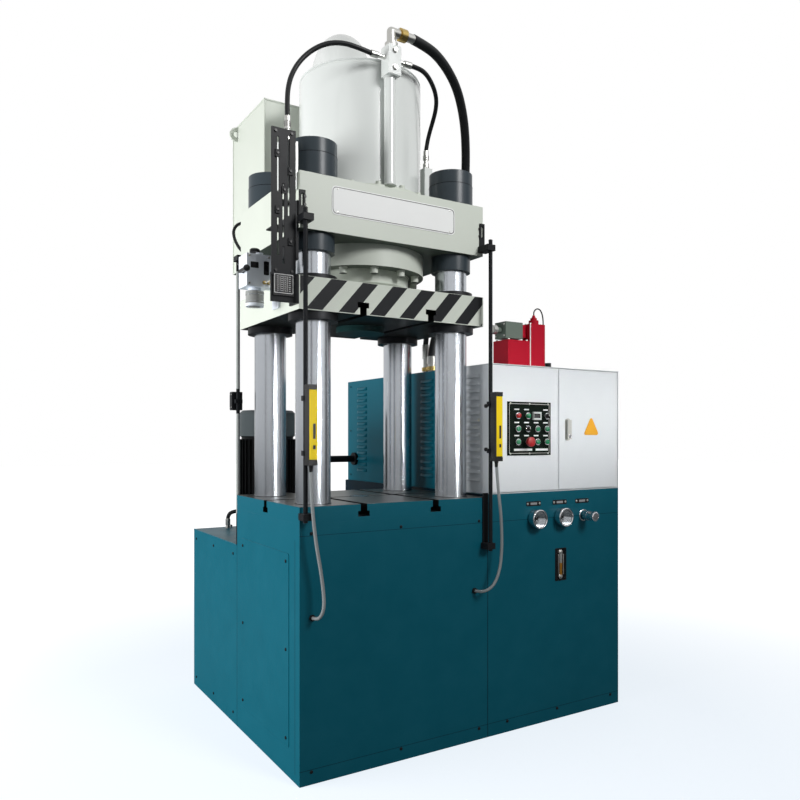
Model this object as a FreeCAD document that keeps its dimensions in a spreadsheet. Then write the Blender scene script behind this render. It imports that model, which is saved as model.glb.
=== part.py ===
import FreeCAD, Part
import math
import os
import re

import Sketcher

# Four-column hydraulic press with its oil tank, electric cabinet and pump enclosure.
# Millimetres. The origin is on the floor under the ram, +Z up, +X right, +Y to the back.

DIMENSIONS = {
    # base, table and rear tank
    "base_width": 834, "base_depth": 645, "base_height": 980, "table_thick": 60,
    "deck_thick": 60, "wall_thick": 12, "tank_depth": 630, "tank_height": 769,
    "tank_wall": 8, "slot_neck": 28, "slot_neck_depth": 26, "slot_foot": 48,
    "slot_foot_depth": 20, "table_slot_offset": 160,
    # columns and their nuts
    "column_dia": 130, "column_pitch_x": 625, "column_pitch_y": 419, "column_top": 2296,
    "fit_gap": 0.25, "run_gap": 0.05, "nut_rad": 90, "nut_tall": 85, "locknut_tall": 51,
    "under_nut_rad": 80, "under_nut_tall": 64, "base_nut_tall": 60,
    # crown and main cylinder
    "crown_width": 814, "crown_depth": 606, "crown_bottom": 1964, "crown_thick": 202,
    "barrel_rad": 251, "barrel_top": 2675, "barrel_bore_rad": 200, "barrel_head": 60,
    "lock_ring_rad": 280, "lock_ring_tall": 20, "flange_rad": 262, "flange_tall": 84,
    "boss_rad": 200, "boss_tall": 60, "ram_rad": 175, "piston_tall": 110,
    "bolt_head_rad": 15, "bolt_head_tall": 24, "flange_bolt_pcr": 232, "ring_bolt_pcr": 266,
    # platen and what rides on it
    "platen_width": 820, "platen_depth": 604, "ram_clearance": 23, "platen_thick": 120,
    "bush_rad": 78, "bush_flange_rad": 88, "bush_flange_tall": 16, "wiper_rad": 92,
    "wiper_tall": 28, "disc_rad": 100, "disc_tall": 24, "platen_slot_offset": 151,
    "cam_width": 90, "cam_tall": 511, "cam_thick": 6, "cam_left": -515, "cam_bottom": 1785,
    "cam_slot_width": 7, "bracket_thick": 8,
    # ejector
    "ejector_dia": 80, "ejector_piston_rad": 80, "ejector_wall": 20, "ejector_flange_rad": 150,
    "ejector_barrel": 400, "ejector_flange_tall": 40,
    # upper tank and prefill bend
    "upper_tank_width": 590, "upper_tank_depth": 400, "upper_tank_bottom": 2000,
    "upper_tank_top": 2690, "upper_tank_gap": 15, "bend_pipe_rad": 100, "bend_pipe_wall": 6,
    "bend_foot_x": -17, "bend_foot_y": 78, "bend_end_x": 83, "bend_end_y": 478,
    "bend_height": 2694, "collar_rad": 120, "collar_tall": 58,
    # right-hand cabinet
    "cabinet_left": 433, "cabinet_right": 1183, "cabinet_depth": 1250, "cabinet_waist": 990,
    "cabinet_top": 1528, "sheet_thick": 3, "electric_depth": 290, "door_thick": 22,
    "door_gap": 3, "louver_pitch": 31, "louver_count": 15, "louver_width": 100,
    "louver_tall": 9, "louver_bottom": 1040,
    # control panel
    "panel_left": 519, "panel_width": 240, "panel_bottom": 1148, "panel_tall": 225,
    "panel_thick": 4, "button_pitch": 53.7, "button_row": 55, "button_first_x": 568,
    "button_low_z": 1204.5, "button_rad": 10.5,
    "estop_rad": 20, "hole_rad": 11,
    # gauges and knobs
    "gauge_rad": 41, "gauge_deep": 34, "gauge_left_x": 673, "gauge_right_x": 823,
    "gauge_z": 877, "knob_x": 958, "knob_rad": 20, "knob_long": 62,
    "sight_x": 821, "sight_z": 670, "sight_width": 57, "sight_tall": 133,
    # light curtains
    "curtain_rod_rad": 8, "curtain_rod_x": 408, "curtain_rod_y": -352,
    "curtain_rod_top": 2018, "curtain_left_foot": 927, "curtain_right_foot": 765,
    "curtain_unit_width": 32, "curtain_unit_deep": 36, "curtain_unit_foot": 1130,
    "curtain_unit_tall": 273,
    # motor and its pipe
    "motor_x": -159, "motor_y": 628, "motor_rad": 130, "motor_top": 1350,
    "cross_pipe_rad": 17.5, "cross_pipe_y": 843, "cross_pipe_z": 1107, "cross_pipe_foot": 180,
}

# Heights and edges that several pieces share, as formulas in the sheet's names.
BASE_FRONT = "(-base_depth / 2)"
BASE_BACK = "(base_depth / 2)"
BOX_TOP = "(base_height - table_thick)"
DECK_BOTTOM = "(base_height - table_thick - deck_thick)"
TANK_BACK = "(base_depth / 2 + tank_depth)"
CROWN_TOP = "(crown_bottom + crown_thick)"
CROWN_FRONT = "(-crown_depth / 2)"
PLATEN_TOP = "(crown_bottom - flange_tall - boss_tall - ram_clearance)"
PLATEN_BOTTOM = "(crown_bottom - flange_tall - boss_tall - ram_clearance - platen_thick)"
FLANGE_BOTTOM = "(crown_bottom - flange_tall)"
COLUMN_RAD = "(column_dia / 2)"
COLUMN_FOOT = "(base_height - table_thick - deck_thick - base_nut_tall - 10)"
CABINET_FRONT = "(-base_depth / 2)"
CABINET_BACK = "(-base_depth / 2 + cabinet_depth)"
DOOR_FACE = "(-base_depth / 2)"

# Pressure riser, its block and the ports, where the hoses begin and end.
RISER_X = -20
RISER_Y = -273
BLOCK_Y = -284
BLOCK_LOW = 2600
BLOCK_TOP = 2710
LEFT_PORT = (-437, -262)
SMALL_PORT = (330, 0)
MAIN_END = (463, 148)
RETURN_END = (463, 200)

# Ends of each hose, at the faces of their fittings.
MAIN_ELBOW = (-20, -284, 2772)
MAIN_START = (90, -266, 2782)
LEFT_START = (-110, -285, 2666)
SMALL_START = (68, -285, 2664)
LEFT_END_Z = 2363
SMALL_END_Z = 2480
MAIN_END_Z = 1600
RETURN_END_Z = 1660
RETURN_TOP = (445, 200, 2070)

# Hose and cable routes, in order from the first fitting to the last.
MAIN_ROUTE = [MAIN_START, (169, -245, 2784), (238, -226, 2772), (310, -201, 2739),
              (374, -170, 2696), (428, -132, 2642), (475, -91, 2575), (515, -45, 2484),
              (541, -5, 2370), (554, 32, 2232), (557, 64, 2085), (550, 91, 1945),
              (529, 116, 1832), (497, 137, 1742), (471, 147, 1668), (463, 148, MAIN_END_Z)]
LEFT_ROUTE = [LEFT_START, (-165, -285, 2672), (-222, -275, 2678), (-280, -258, 2668),
              (-333, -240, 2636), (-377, -230, 2588), (-408, -232, 2532), (-426, -243, 2478),
              (-436, -257, 2422), (-437, -262, LEFT_END_Z)]
SMALL_ROUTE = [SMALL_START, (112, -278, 2668), (160, -254, 2670), (205, -222, 2664),
               (250, -185, 2652), (285, -147, 2634), (309, -105, 2612), (323, -62, 2583),
               (329, -28, 2549), (331, -8, 2514), (330, 0, SMALL_END_Z)]
RETURN_ROUTE = [(*RETURN_END, RETURN_END_Z), (467, 200, 1716), (486, 202, 1777), (515, 203, 1836),
                (545, 203, 1896), (562, 203, 1960), (549, 202, 2022), (505, 201, 2062), RETURN_TOP]
LEFT_CABLE = [(-400, -379, 1120), (-399, -381, 1030), (-392, -382, 935), (-379, -380, 845),
              (-363, -379, 765), (-355, -382, 700), (-354, -388, 655), (-357, -389, 625),
              (-362, -380, 603), (-366, -361, 590), (-370, -331, 588)]
RIGHT_CABLE = [(416, -379, 1120), (421, -381, 1035), (433, -382, 945), (442, -381, 855),
               (442, -382, 775), (433, -384, 708), (414, -386, 658), (391, -384, 627),
               (368, -373, 611), (353, -353, 606), (348, -331, 606)]

# Doors of the electric cabinet: hinge pins, width, lower edge and height.
DOOR_PIN_LEFT = "(cabinet_left + sheet_thick + door_gap + 8)"
DOOR_PIN_RIGHT = "(cabinet_right - sheet_thick - door_gap - 8)"
DOOR_PIN_Y = "(-base_depth / 2 + 6)"
DOOR_WIDE = "((cabinet_right - cabinet_left - 2 * sheet_thick - 3 * door_gap) / 2)"
DOOR_LOW = "(cabinet_waist + sheet_thick + door_gap)"
DOOR_TALL = "(cabinet_top - cabinet_waist - 2 * sheet_thick - 2 * door_gap)"

# Places on the control panel, counted along each row from the lower left.
METER_PLACE = 10
LAMP_PLACES = (8, 9)
SELECTOR_PLACES = {5: "mode_selector", 11: "power_selector"}
ESTOP_PLACE = 1

# Turning axis of the door handle.
HANDLE_X = "863"
HANDLE_Z = "1258"

DOC = FreeCAD.newDocument("HydraulicPress")
SHEET = DOC.addObject("Spreadsheet::Sheet", "Sizes")
PIECES = []


def fill_sheet():
    for row, (alias, value) in enumerate(DIMENSIONS.items(), start=1):
        SHEET.set(f"A{row}", alias)
        SHEET.set(f"B{row}", str(value))
        SHEET.setAlias(f"B{row}", alias)
    DOC.recompute()


def formula(text):
    """Point each size's name in a formula at the sheet."""
    def in_sheet(word):
        return "Sizes." + word[0] if word[0] in DIMENSIONS else word[0]
    return re.sub(r"[a-z_]\w*", in_sheet, str(text))


def size(text):
    """The value of a formula in the sheet's names."""
    return float(SHEET.evalExpression(formula(text)))


def place(thing, x, y, z, rotation=None):
    if rotation:
        thing.Placement.Rotation = rotation
    thing.setExpression("Placement.Base.x", formula(x))
    thing.setExpression("Placement.Base.y", formula(y))
    thing.setExpression("Placement.Base.z", formula(z))
    return thing


TURNED = {
    "Z": FreeCAD.Rotation(),
    "X": FreeCAD.Rotation(FreeCAD.Vector(0, 1, 0), 90),
    "Y": FreeCAD.Rotation(FreeCAD.Vector(1, 0, 0), -90),
    "-Y": FreeCAD.Rotation(FreeCAD.Vector(1, 0, 0), 90),
    "-X": FreeCAD.Rotation(FreeCAD.Vector(0, 1, 0), -90),
}


def box(name, wide, deep, tall, x, y, z):
    """A block whose low corner is at x, y, z."""
    block = DOC.addObject("Part::Box", name)
    block.setExpression("Length", formula(wide))
    block.setExpression("Width", formula(deep))
    block.setExpression("Height", formula(tall))
    return place(block, x, y, z)


def centred_box(name, wide, deep, tall, x, y, z):
    """A block centred on x, y that stands at z."""
    return box(name, wide, deep, tall, f"({x}) - ({wide}) / 2", f"({y}) - ({deep}) / 2", z)


def rod(name, radius, length, x, y, z, axis="Z"):
    """A round bar that starts at x, y, z and runs along the axis."""
    bar = DOC.addObject("Part::Cylinder", name)
    bar.setExpression("Radius", formula(radius))
    bar.setExpression("Height", formula(length))
    return place(bar, x, y, z, TURNED[axis])


def fuse(name, parts):
    joined = DOC.addObject("Part::MultiFuse", name)
    joined.Shapes = parts
    return joined


def cut(name, body, tools):
    """The body less its tools; several tools are fused first."""
    hollow = DOC.addObject("Part::Cut", name)
    hollow.Base = body
    hollow.Tool = tools[0] if len(tools) == 1 else fuse(name + "_tools", tools)
    return hollow


def ring(name, outer, inner, length, x, y, z, axis="Z"):
    whole = rod(name + "_outer", outer, length, x, y, z, axis)
    return cut(name, whole, [rod(name + "_bore", inner, length, x, y, z, axis)])


def group(name, solids):
    """Separate solids that share one node."""
    together = DOC.addObject("Part::Compound", name)
    together.Links = solids
    return together


def keep(thing, label):
    """Name a finished sub-part; the label is its node and file name."""
    thing.Label = label
    PIECES.append(thing)
    return thing


def origin_plane(body, role):
    return next(plane for plane in body.Origin.OriginFeatures if plane.Role == role)


def new_sketch(body, name, role):
    sketch = body.newObject("Sketcher::SketchObject", name)
    sketch.AttachmentSupport = [(origin_plane(body, role), "")]
    sketch.MapMode = "FlatFace"
    return sketch


def bind(sketch, constraint, text):
    index = sketch.addConstraint(constraint)
    sketch.setExpression(f"Constraints[{index}]", formula(text))


def sketch_rectangle(sketch, wide, deep):
    """A rectangle centred on the sketch's origin."""
    corners = [(-10, -10), (10, -10), (10, 10), (-10, 10)]
    points = [FreeCAD.Vector(x, y, 0) for x, y in corners]
    for side in range(4):
        sketch.addGeometry(Part.LineSegment(points[side], points[(side + 1) % 4]), False)
    for side in range(4):
        sketch.addConstraint(Sketcher.Constraint("Coincident", side, 2, (side + 1) % 4, 1))
    for side, kind in enumerate(["Horizontal", "Vertical", "Horizontal", "Vertical"]):
        sketch.addConstraint(Sketcher.Constraint(kind, side))
    sketch.addConstraint(Sketcher.Constraint("Symmetric", 0, 1, 2, 1, -1, 1))
    bind(sketch, Sketcher.Constraint("DistanceX", 0, 1, 0, 2, 20), wide)
    bind(sketch, Sketcher.Constraint("DistanceY", 1, 1, 1, 2, 20), deep)


def sketch_corner_circles(sketch, radius, pitch_x, pitch_y):
    """Four circles at the corners of a centred rectangle."""
    for x, y in ((40, 40), (-40, 40), (40, -40), (-40, -40)):
        sketch.addGeometry(Part.Circle(FreeCAD.Vector(x, y, 0), FreeCAD.Vector(0, 0, 1), 5), False)
    first = sketch.GeometryCount - 4
    sketch.addConstraint(Sketcher.Constraint("Symmetric", first, 3, first + 1, 3, -2))
    sketch.addConstraint(Sketcher.Constraint("Symmetric", first, 3, first + 2, 3, -1))
    sketch.addConstraint(Sketcher.Constraint("Symmetric", first, 3, first + 3, 3, -1, 1))
    for other in range(1, 4):
        sketch.addConstraint(Sketcher.Constraint("Equal", first, first + other))
    bind(sketch, Sketcher.Constraint("DistanceX", -1, 1, first, 3, 40), f"{pitch_x} / 2")
    bind(sketch, Sketcher.Constraint("DistanceY", -1, 1, first, 3, 40), f"{pitch_y} / 2")
    bind(sketch, Sketcher.Constraint("Radius", first, 5), radius)


def sketch_centre_circle(sketch, radius):
    circle = Part.Circle(FreeCAD.Vector(0, 0, 0), FreeCAD.Vector(0, 0, 1), 5)
    index = sketch.addGeometry(circle, False)
    sketch.addConstraint(Sketcher.Constraint("Coincident", index, 3, -1, 1))
    bind(sketch, Sketcher.Constraint("Radius", index, 5), radius)


def padded_slab(name, wide, deep, thick, z):
    """A PartDesign body: a centred slab padded up from its own XY plane."""
    body = DOC.addObject("PartDesign::Body", name)
    outline = new_sketch(body, name + "_outline", "XY_Plane")
    sketch_rectangle(outline, wide, deep)
    pad = body.newObject("PartDesign::Pad", name + "_pad")
    pad.Profile = outline
    pad.setExpression("Length", formula(thick))
    place(body, "0", "0", z)
    DOC.recompute()
    return body


def pocket_circles(body, name, sketcher, *sizes):
    """Cut circles through the whole slab, and check that they did cut."""
    before = body.Shape.Volume
    holes = new_sketch(body, name, "XY_Plane")
    sketcher(holes, *sizes)
    pocket = body.newObject("PartDesign::Pocket", name + "_pocket")
    pocket.Profile = holes
    pocket.Type = "ThroughAll"
    pocket.Midplane = True
    DOC.recompute()
    if body.Shape.Volume >= before:
        raise RuntimeError(name + " cuts nothing")


def turned(name, profile, x, y, z, axis="Z"):
    """A PartDesign body revolved from (radius, height) points, given in order."""
    body = DOC.addObject("PartDesign::Body", name)
    sketch = new_sketch(body, name + "_profile", "XZ_Plane")
    count = len(profile)
    guess = [FreeCAD.Vector(size(radius), size(height), 0)
             for radius, height in profile]
    for side in range(count):
        sketch.addGeometry(Part.LineSegment(guess[side], guess[(side + 1) % count]), False)
    for side in range(count):
        sketch.addConstraint(Sketcher.Constraint("Coincident", side, 2, (side + 1) % count, 1))
    for side, (radius, height) in enumerate(profile):
        pin_point(sketch, side, radius, "DistanceX", -2)
        pin_point(sketch, side, height, "DistanceY", -1)
    revolution = body.newObject("PartDesign::Revolution", name + "_turned")
    revolution.Profile = sketch
    revolution.ReferenceAxis = (sketch, ["V_Axis"])
    revolution.Angle = 360
    return place(body, x, y, z, TURNED[axis])


def pin_point(sketch, side, text, kind, axis):
    """Hold one coordinate of a line's start on the axis or at its distance from it."""
    if text == "0":
        sketch.addConstraint(Sketcher.Constraint("PointOnObject", side, 1, axis))
    else:
        start = sketch.Geometry[side].StartPoint
        now = start.x if kind == "DistanceX" else start.y
        bind(sketch, Sketcher.Constraint(kind, -1, 1, side, 1, now), text)


def column_places():
    """Centres of the four columns, as formulas."""
    return [(f"{sx} * column_pitch_x / 2", f"{sy} * column_pitch_y / 2")
            for sy in (-1, 1) for sx in (-1, 1)]


def make_base():
    """Welded lower box: four walls, a floor and a thick deck under the table."""
    outside = centred_box("base_outside", "base_width", "base_depth", BOX_TOP, "0", "0", "0")
    hollow = centred_box("base_hollow", "base_width - 2 * wall_thick",
                         "base_depth - 2 * wall_thick", f"{DECK_BOTTOM} - 2 * wall_thick",
                         "0", "0", "2 * wall_thick")
    bores = [rod(f"deck_bore_{i}", f"{COLUMN_RAD} + fit_gap", "deck_thick + 2", x, y,
                 f"{DECK_BOTTOM} - 1") for i, (x, y) in enumerate(column_places())]
    bores.append(rod("deck_ejector_bore", "ejector_dia / 2 + 5", "deck_thick + 2", "0", "0",
                     f"{DECK_BOTTOM} - 1"))
    keep(cut("base", outside, [hollow] + bores), "base_frame")


def slot_tools(name, along, offset, face, into):
    """The neck and foot of a T-slot that runs along X or Y in the face at a height."""
    tools = []
    low = {1: face, -1: f"{face} - slot_neck_depth"}[into]
    foot = {1: f"{face} + slot_neck_depth", -1: f"{face} - slot_neck_depth - slot_foot_depth"}
    for part, wide, deep, z in (("neck", "slot_neck", "slot_neck_depth", low),
                                ("foot", "slot_foot", "slot_foot_depth", foot[into])):
        if along == "Y":
            tools.append(centred_box(f"{name}_{part}", wide, "base_depth + 4", deep, offset, "0", z))
        else:
            tools.append(centred_box(f"{name}_{part}", "base_width + 4", wide, deep, "0", offset, z))
    return tools


def make_table():
    """Machined plate on the base, with T-slots and the ejector's guide hole."""
    plate = centred_box("table_plate", "base_width", "base_depth", "table_thick", "0", "0", BOX_TOP)
    tools = slot_tools("table_slot_left", "Y", "-table_slot_offset", "base_height", -1)
    tools += slot_tools("table_slot_right", "Y", "table_slot_offset", "base_height", -1)
    tools += slot_tools("table_slot_cross", "X", "0", "base_height", -1)
    for i, (x, y) in enumerate(column_places()):
        tools.append(rod(f"table_bore_{i}", f"{COLUMN_RAD} + fit_gap", "table_thick + 2", x, y,
                         f"{BOX_TOP} - 1"))
    tools.append(rod("table_ejector_bore", "ejector_dia / 2 + run_gap", "table_thick + 2",
                     "0", "0", f"{BOX_TOP} - 1"))
    keep(cut("table", plate, tools), "work_table")


def make_rear_tank():
    """Low oil tank behind the base: a closed welded box."""
    outside = box("tank_outside", "base_width", "tank_depth", "tank_height",
                  "-base_width / 2", BASE_BACK, "0")
    hollow = box("tank_hollow", "base_width - 2 * tank_wall", "tank_depth - 2 * tank_wall",
                 "tank_height - 2 * tank_wall", "-base_width / 2 + tank_wall",
                 f"{BASE_BACK} + tank_wall", "tank_wall")
    keep(cut("tank", outside, [hollow]), "rear_tank")


def make_columns():
    """Four chromed columns with chamfered ends."""
    long = f"(column_top - {COLUMN_FOOT})"
    bars = []
    for i, (x, y) in enumerate(column_places()):
        profile = [("0", "0"), (f"{COLUMN_RAD} - 4", "0"), (COLUMN_RAD, "4"),
                   (COLUMN_RAD, f"{long} - 4"), (f"{COLUMN_RAD} - 4", long), ("0", long)]
        bars.append(turned(f"column_{i}", profile, x, y, COLUMN_FOOT))
    keep(group("column_set", bars), "columns")


def make_column_nuts():
    """Two stacked nuts over the crown, one under it and one under the deck, per column."""
    bore = f"{COLUMN_RAD} + fit_gap"
    nuts = []
    for i, (x, y) in enumerate(column_places()):
        nuts.append(ring(f"nut_{i}", "nut_rad", bore, "nut_tall", x, y, CROWN_TOP))
        nuts.append(ring(f"locknut_{i}", "nut_rad - 1", bore, "locknut_tall", x, y,
                         f"{CROWN_TOP} + nut_tall"))
    for i, (x, y) in enumerate(column_places()):
        nuts.append(ring(f"under_nut_{i}", "under_nut_rad", bore, "under_nut_tall", x, y,
                         "crown_bottom - under_nut_tall"))
        nuts.append(ring(f"base_nut_{i}", "under_nut_rad", bore, "base_nut_tall", x, y,
                         f"{DECK_BOTTOM} - base_nut_tall"))
    keep(group("nut_set", nuts), "column_nuts")


def make_crown():
    """Upper beam: a thick slab bored for the columns and the cylinder."""
    body = padded_slab("crown_slab", "crown_width", "crown_depth", "crown_thick", "crown_bottom")
    pocket_circles(body, "crown_column_bores", sketch_corner_circles, f"{COLUMN_RAD} + fit_gap",
                   "column_pitch_x", "column_pitch_y")
    pocket_circles(body, "crown_cylinder_bore", sketch_centre_circle, "barrel_rad + fit_gap")
    keep(body, "crown")


def make_cylinder():
    """Barrel with its closed head; the ring, flange and bolts that hold it to the crown."""
    long = "(barrel_top - crown_bottom)"
    profile = [("barrel_bore_rad", "0"), ("barrel_rad", "0"), ("barrel_rad", f"{long} - 14"),
               ("barrel_rad - 4", f"{long} - 4"), ("barrel_rad - 14", long), ("0", long),
               ("0", f"{long} - barrel_head"), ("barrel_bore_rad", f"{long} - barrel_head")]
    keep(turned("barrel", profile, "0", "0", "crown_bottom"), "main_cylinder")
    lock_ring = ring("barrel_lock_ring", "lock_ring_rad", "barrel_rad + fit_gap",
                     "lock_ring_tall", "0", "0", CROWN_TOP)
    bore = "(ram_rad + run_gap)"
    whole = "(flange_tall + boss_tall)"
    profile = [(bore, "0"), ("boss_rad - 10", "0"), ("boss_rad", "10"), ("boss_rad", "boss_tall"),
               ("flange_rad", "boss_tall"), ("flange_rad", whole), (bore, whole)]
    gland = turned("gland", profile, "0", "0", f"{FLANGE_BOTTOM} - boss_tall")
    keep(group("cylinder_ring_set", [lock_ring, gland]), "cylinder_rings")
    bolts = []
    for i in range(12):
        turn = f"{i * 30 + 15}"
        bolts.append(rod(f"flange_bolt_{i}", "bolt_head_rad", "bolt_head_tall",
                         f"flange_bolt_pcr * cos({turn})", f"flange_bolt_pcr * sin({turn})",
                         f"{FLANGE_BOTTOM} - bolt_head_tall"))
    for i in range(16):
        turn = f"{i * 22.5 + 9}"
        bolts.append(rod(f"ring_bolt_{i}", "bolt_head_rad - 4", "bolt_head_tall - 10",
                         f"ring_bolt_pcr * cos({turn})", f"ring_bolt_pcr * sin({turn})",
                         f"{CROWN_TOP} + lock_ring_tall"))
    keep(group("cylinder_bolt_set", bolts), "cylinder_bolts")


def make_ram():
    """Chromed ram with its piston, seated on the platen."""
    long = f"(2520 - {PLATEN_TOP})"
    piston = "(barrel_bore_rad - run_gap)"
    profile = [("0", "0"), ("ram_rad", "0"), ("ram_rad", f"{long} - piston_tall"),
               (piston, f"{long} - piston_tall"), (piston, long), ("0", long)]
    keep(turned("ram_bar", profile, "0", "0", PLATEN_TOP), "ram")


def make_platen():
    """Moving slab with guide bushes, wipers, T-slots beneath and the centre disc."""
    body = padded_slab("platen_slab", "platen_width", "platen_depth", "platen_thick",
                       PLATEN_BOTTOM)
    pocket_circles(body, "platen_bush_bores", sketch_corner_circles, "bush_rad + fit_gap",
                   "column_pitch_x", "column_pitch_y")
    tools = slot_tools("platen_slot_left", "Y", "-platen_slot_offset", PLATEN_BOTTOM, 1)
    tools += slot_tools("platen_slot_right", "Y", "platen_slot_offset", PLATEN_BOTTOM, 1)
    keep(cut("platen_slotted", body, tools), "platen")
    bushes = []
    bore = f"{COLUMN_RAD} + run_gap"
    for i, (x, y) in enumerate(column_places()):
        profile = [(bore, "0"), ("bush_rad", "0"), ("bush_rad", "platen_thick"),
                   ("bush_flange_rad", "platen_thick"),
                   ("bush_flange_rad", "platen_thick + bush_flange_tall"),
                   (bore, "platen_thick + bush_flange_tall")]
        bushes.append(turned(f"bush_{i}", profile, x, y, PLATEN_BOTTOM))
        bushes.append(ring(f"wiper_{i}", "wiper_rad", bore, "wiper_tall", x, y,
                           f"{PLATEN_BOTTOM} - wiper_tall"))
    keep(group("bush_set", bushes), "guide_bushes")
    keep(rod("centre_disc", "disc_rad", "disc_tall", "0", "0", f"{PLATEN_BOTTOM} - disc_tall"),
         "platen_disc")


def make_cam_plate():
    """Slotted cam plate on an angle bracket at the platen's left face."""
    front = "(-platen_depth / 2)"
    plate = box("cam_blank", "cam_width", "cam_thick", "cam_tall", "cam_left",
                f"{front} - cam_thick", "cam_bottom")
    slots = []
    for i, (across, low, tall) in enumerate(((24, 290, 190), (64, 210, 280), (44, 130, 190),
                                             (24, 70, 130), (44, 40, 60))):
        slots.append(box(f"cam_slot_{i}", "cam_slot_width", "cam_thick + 2", tall,
                         f"cam_left + {across} - cam_slot_width / 2", f"{front} - cam_thick - 1",
                         f"cam_bottom + {low}"))
    strip = box("cam_tag_strip", "cam_width - 16", "cam_thick", "72", "cam_left + 8",
                f"{front} - cam_thick", "cam_bottom - 68")
    shelf = box("cam_bracket", "-platen_width / 2 - cam_left", "bracket_thick", "100",
                "cam_left", front, "cam_bottom - 90")
    foot = box("cam_bracket_foot", "bracket_thick", "70", "90",
               "-platen_width / 2 - bracket_thick", front, "cam_bottom - 90")
    slotted = cut("cam_slotted", fuse("cam_whole", [plate, strip]), slots)
    keep(group("cam_set", [slotted, fuse("cam_angle", [shelf, foot])]), "cam_plate")


def make_ejector():
    """Cylinder hung under the deck, and the rod that comes up flush with the table."""
    outer = "(ejector_piston_rad + ejector_wall)"
    top = "(ejector_barrel)"
    gland = "ejector_flange_tall"
    piston_bore = "(ejector_piston_rad + run_gap)"
    rod_bore = "(ejector_dia / 2 + run_gap)"
    profile = [("0", "0"), (outer, "0"), (outer, f"{top} - {gland}"),
               ("ejector_flange_rad", f"{top} - {gland}"), ("ejector_flange_rad", top),
               (rod_bore, top), (rod_bore, f"{top} - {gland}"),
               (piston_bore, f"{top} - {gland}"), (piston_bore, "20"), ("0", "20")]
    keep(turned("ejector_barrel_body", profile, "0", "0", f"{DECK_BOTTOM} - {top}"),
         "ejector_cylinder")
    long = f"(base_height - {DECK_BOTTOM} + {top} - 20)"
    profile = [("0", "0"), ("ejector_piston_rad", "0"), ("ejector_piston_rad", "40"),
               ("ejector_dia / 2", "40"), ("ejector_dia / 2", long), ("0", long)]
    keep(turned("ejector_bar", profile, "0", "0", f"{DECK_BOTTOM} - {top} + 20"), "ejector_rod")


def make_upper_tank():
    """Prefill tank behind the crown, on two rails, with a lifting eye at its left."""
    front = "(crown_depth / 2 + upper_tank_gap)"
    tall = "(upper_tank_top - upper_tank_bottom)"
    outside = centred_box("upper_outside", "upper_tank_width", "upper_tank_depth", tall, "0",
                          f"{front} + upper_tank_depth / 2", "upper_tank_bottom")
    hollow = centred_box("upper_hollow", "upper_tank_width - 2 * tank_wall",
                         "upper_tank_depth - 2 * tank_wall", f"{tall} - 2 * tank_wall", "0",
                         f"{front} + upper_tank_depth / 2", "upper_tank_bottom + tank_wall")
    rails = [centred_box(f"upper_rail_{side}", "50", "upper_tank_gap", f"{CROWN_TOP} - upper_tank_bottom",
                         f"{side} * (upper_tank_width / 2 - 60)", f"{front} - upper_tank_gap / 2",
                         "upper_tank_bottom") for side in (-1, 1)]
    eye = ring("upper_eye", "32", "15", "12", "-upper_tank_width / 2 - 6",
               f"{front} + upper_tank_depth - 60", "upper_tank_top - 40", "Y")
    whole = fuse("upper_whole", [outside, eye] + rails)
    keep(cut("upper_shell", whole, [hollow]), "upper_tank")


def bend_torus(name, pipe_radius):
    """Half a torus that stands over the line from the cylinder head to the tank."""
    run_x = size("bend_end_x - bend_foot_x")
    run_y = size("bend_end_y - bend_foot_y")
    arch = DOC.addObject("Part::Torus", name)
    arch.setExpression("Radius2", formula(pipe_radius))
    arch.setExpression("Radius1", formula("sqrt((bend_end_x - bend_foot_x)^2 + "
                                          "(bend_end_y - bend_foot_y)^2) / 2"))
    arch.Angle3 = 180
    heading = FreeCAD.Rotation(FreeCAD.Vector(0, 0, 1), math.degrees(math.atan2(run_y, run_x)))
    upright = FreeCAD.Rotation(FreeCAD.Vector(1, 0, 0), 90)
    return place(arch, "(bend_foot_x + bend_end_x) / 2", "(bend_foot_y + bend_end_y) / 2",
                 "bend_height", heading.multiply(upright))


def make_prefill_pipe():
    """Large return bend from the cylinder head to the upper tank, with its two collars."""
    inner = "(bend_pipe_rad - bend_pipe_wall)"
    solids = [bend_torus("bend_outside", "bend_pipe_rad")]
    hollows = [bend_torus("bend_inside", inner)]
    for end, x, y, low in (("head", "bend_foot_x", "bend_foot_y", "barrel_top"),
                           ("tank", "bend_end_x", "bend_end_y", "upper_tank_top")):
        rise = f"(bend_height - {low})"
        tall = {"head": "collar_tall", "tank": "14"}[end]
        solids.append(rod(f"bend_leg_{end}", "bend_pipe_rad", f"{rise} + 0.01", x, y, low))
        solids.append(rod(f"bend_collar_{end}", "collar_rad", tall, x, y, low))
        hollows.append(rod(f"bend_leg_bore_{end}", inner, f"{rise} + 0.01", x, y, low))
    keep(cut("bend", fuse("bend_whole", solids), hollows), "prefill_pipe")


def make_port_blocks():
    """Riser pipe and manifold at the cylinder's front, and the two smaller port blocks."""
    riser = rod("riser_tube", "22", f"{BLOCK_LOW} - {CROWN_TOP} - lock_ring_tall", RISER_X, RISER_Y,
                f"{CROWN_TOP} + lock_ring_tall")
    block = centred_box("riser_block", "56", "56", BLOCK_TOP - BLOCK_LOW, RISER_X, BLOCK_Y, BLOCK_LOW)
    left = box("left_port", "60", "50", "170", "-crown_width / 2 - 60", LEFT_PORT[1] - 25,
               f"{CROWN_TOP} - 66")
    small = centred_box("small_port", "40", "40", "234", SMALL_PORT[0], SMALL_PORT[1], CROWN_TOP)
    keep(group("port_set", [fuse("riser", [riser, block]), left, small]), "port_blocks")


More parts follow.
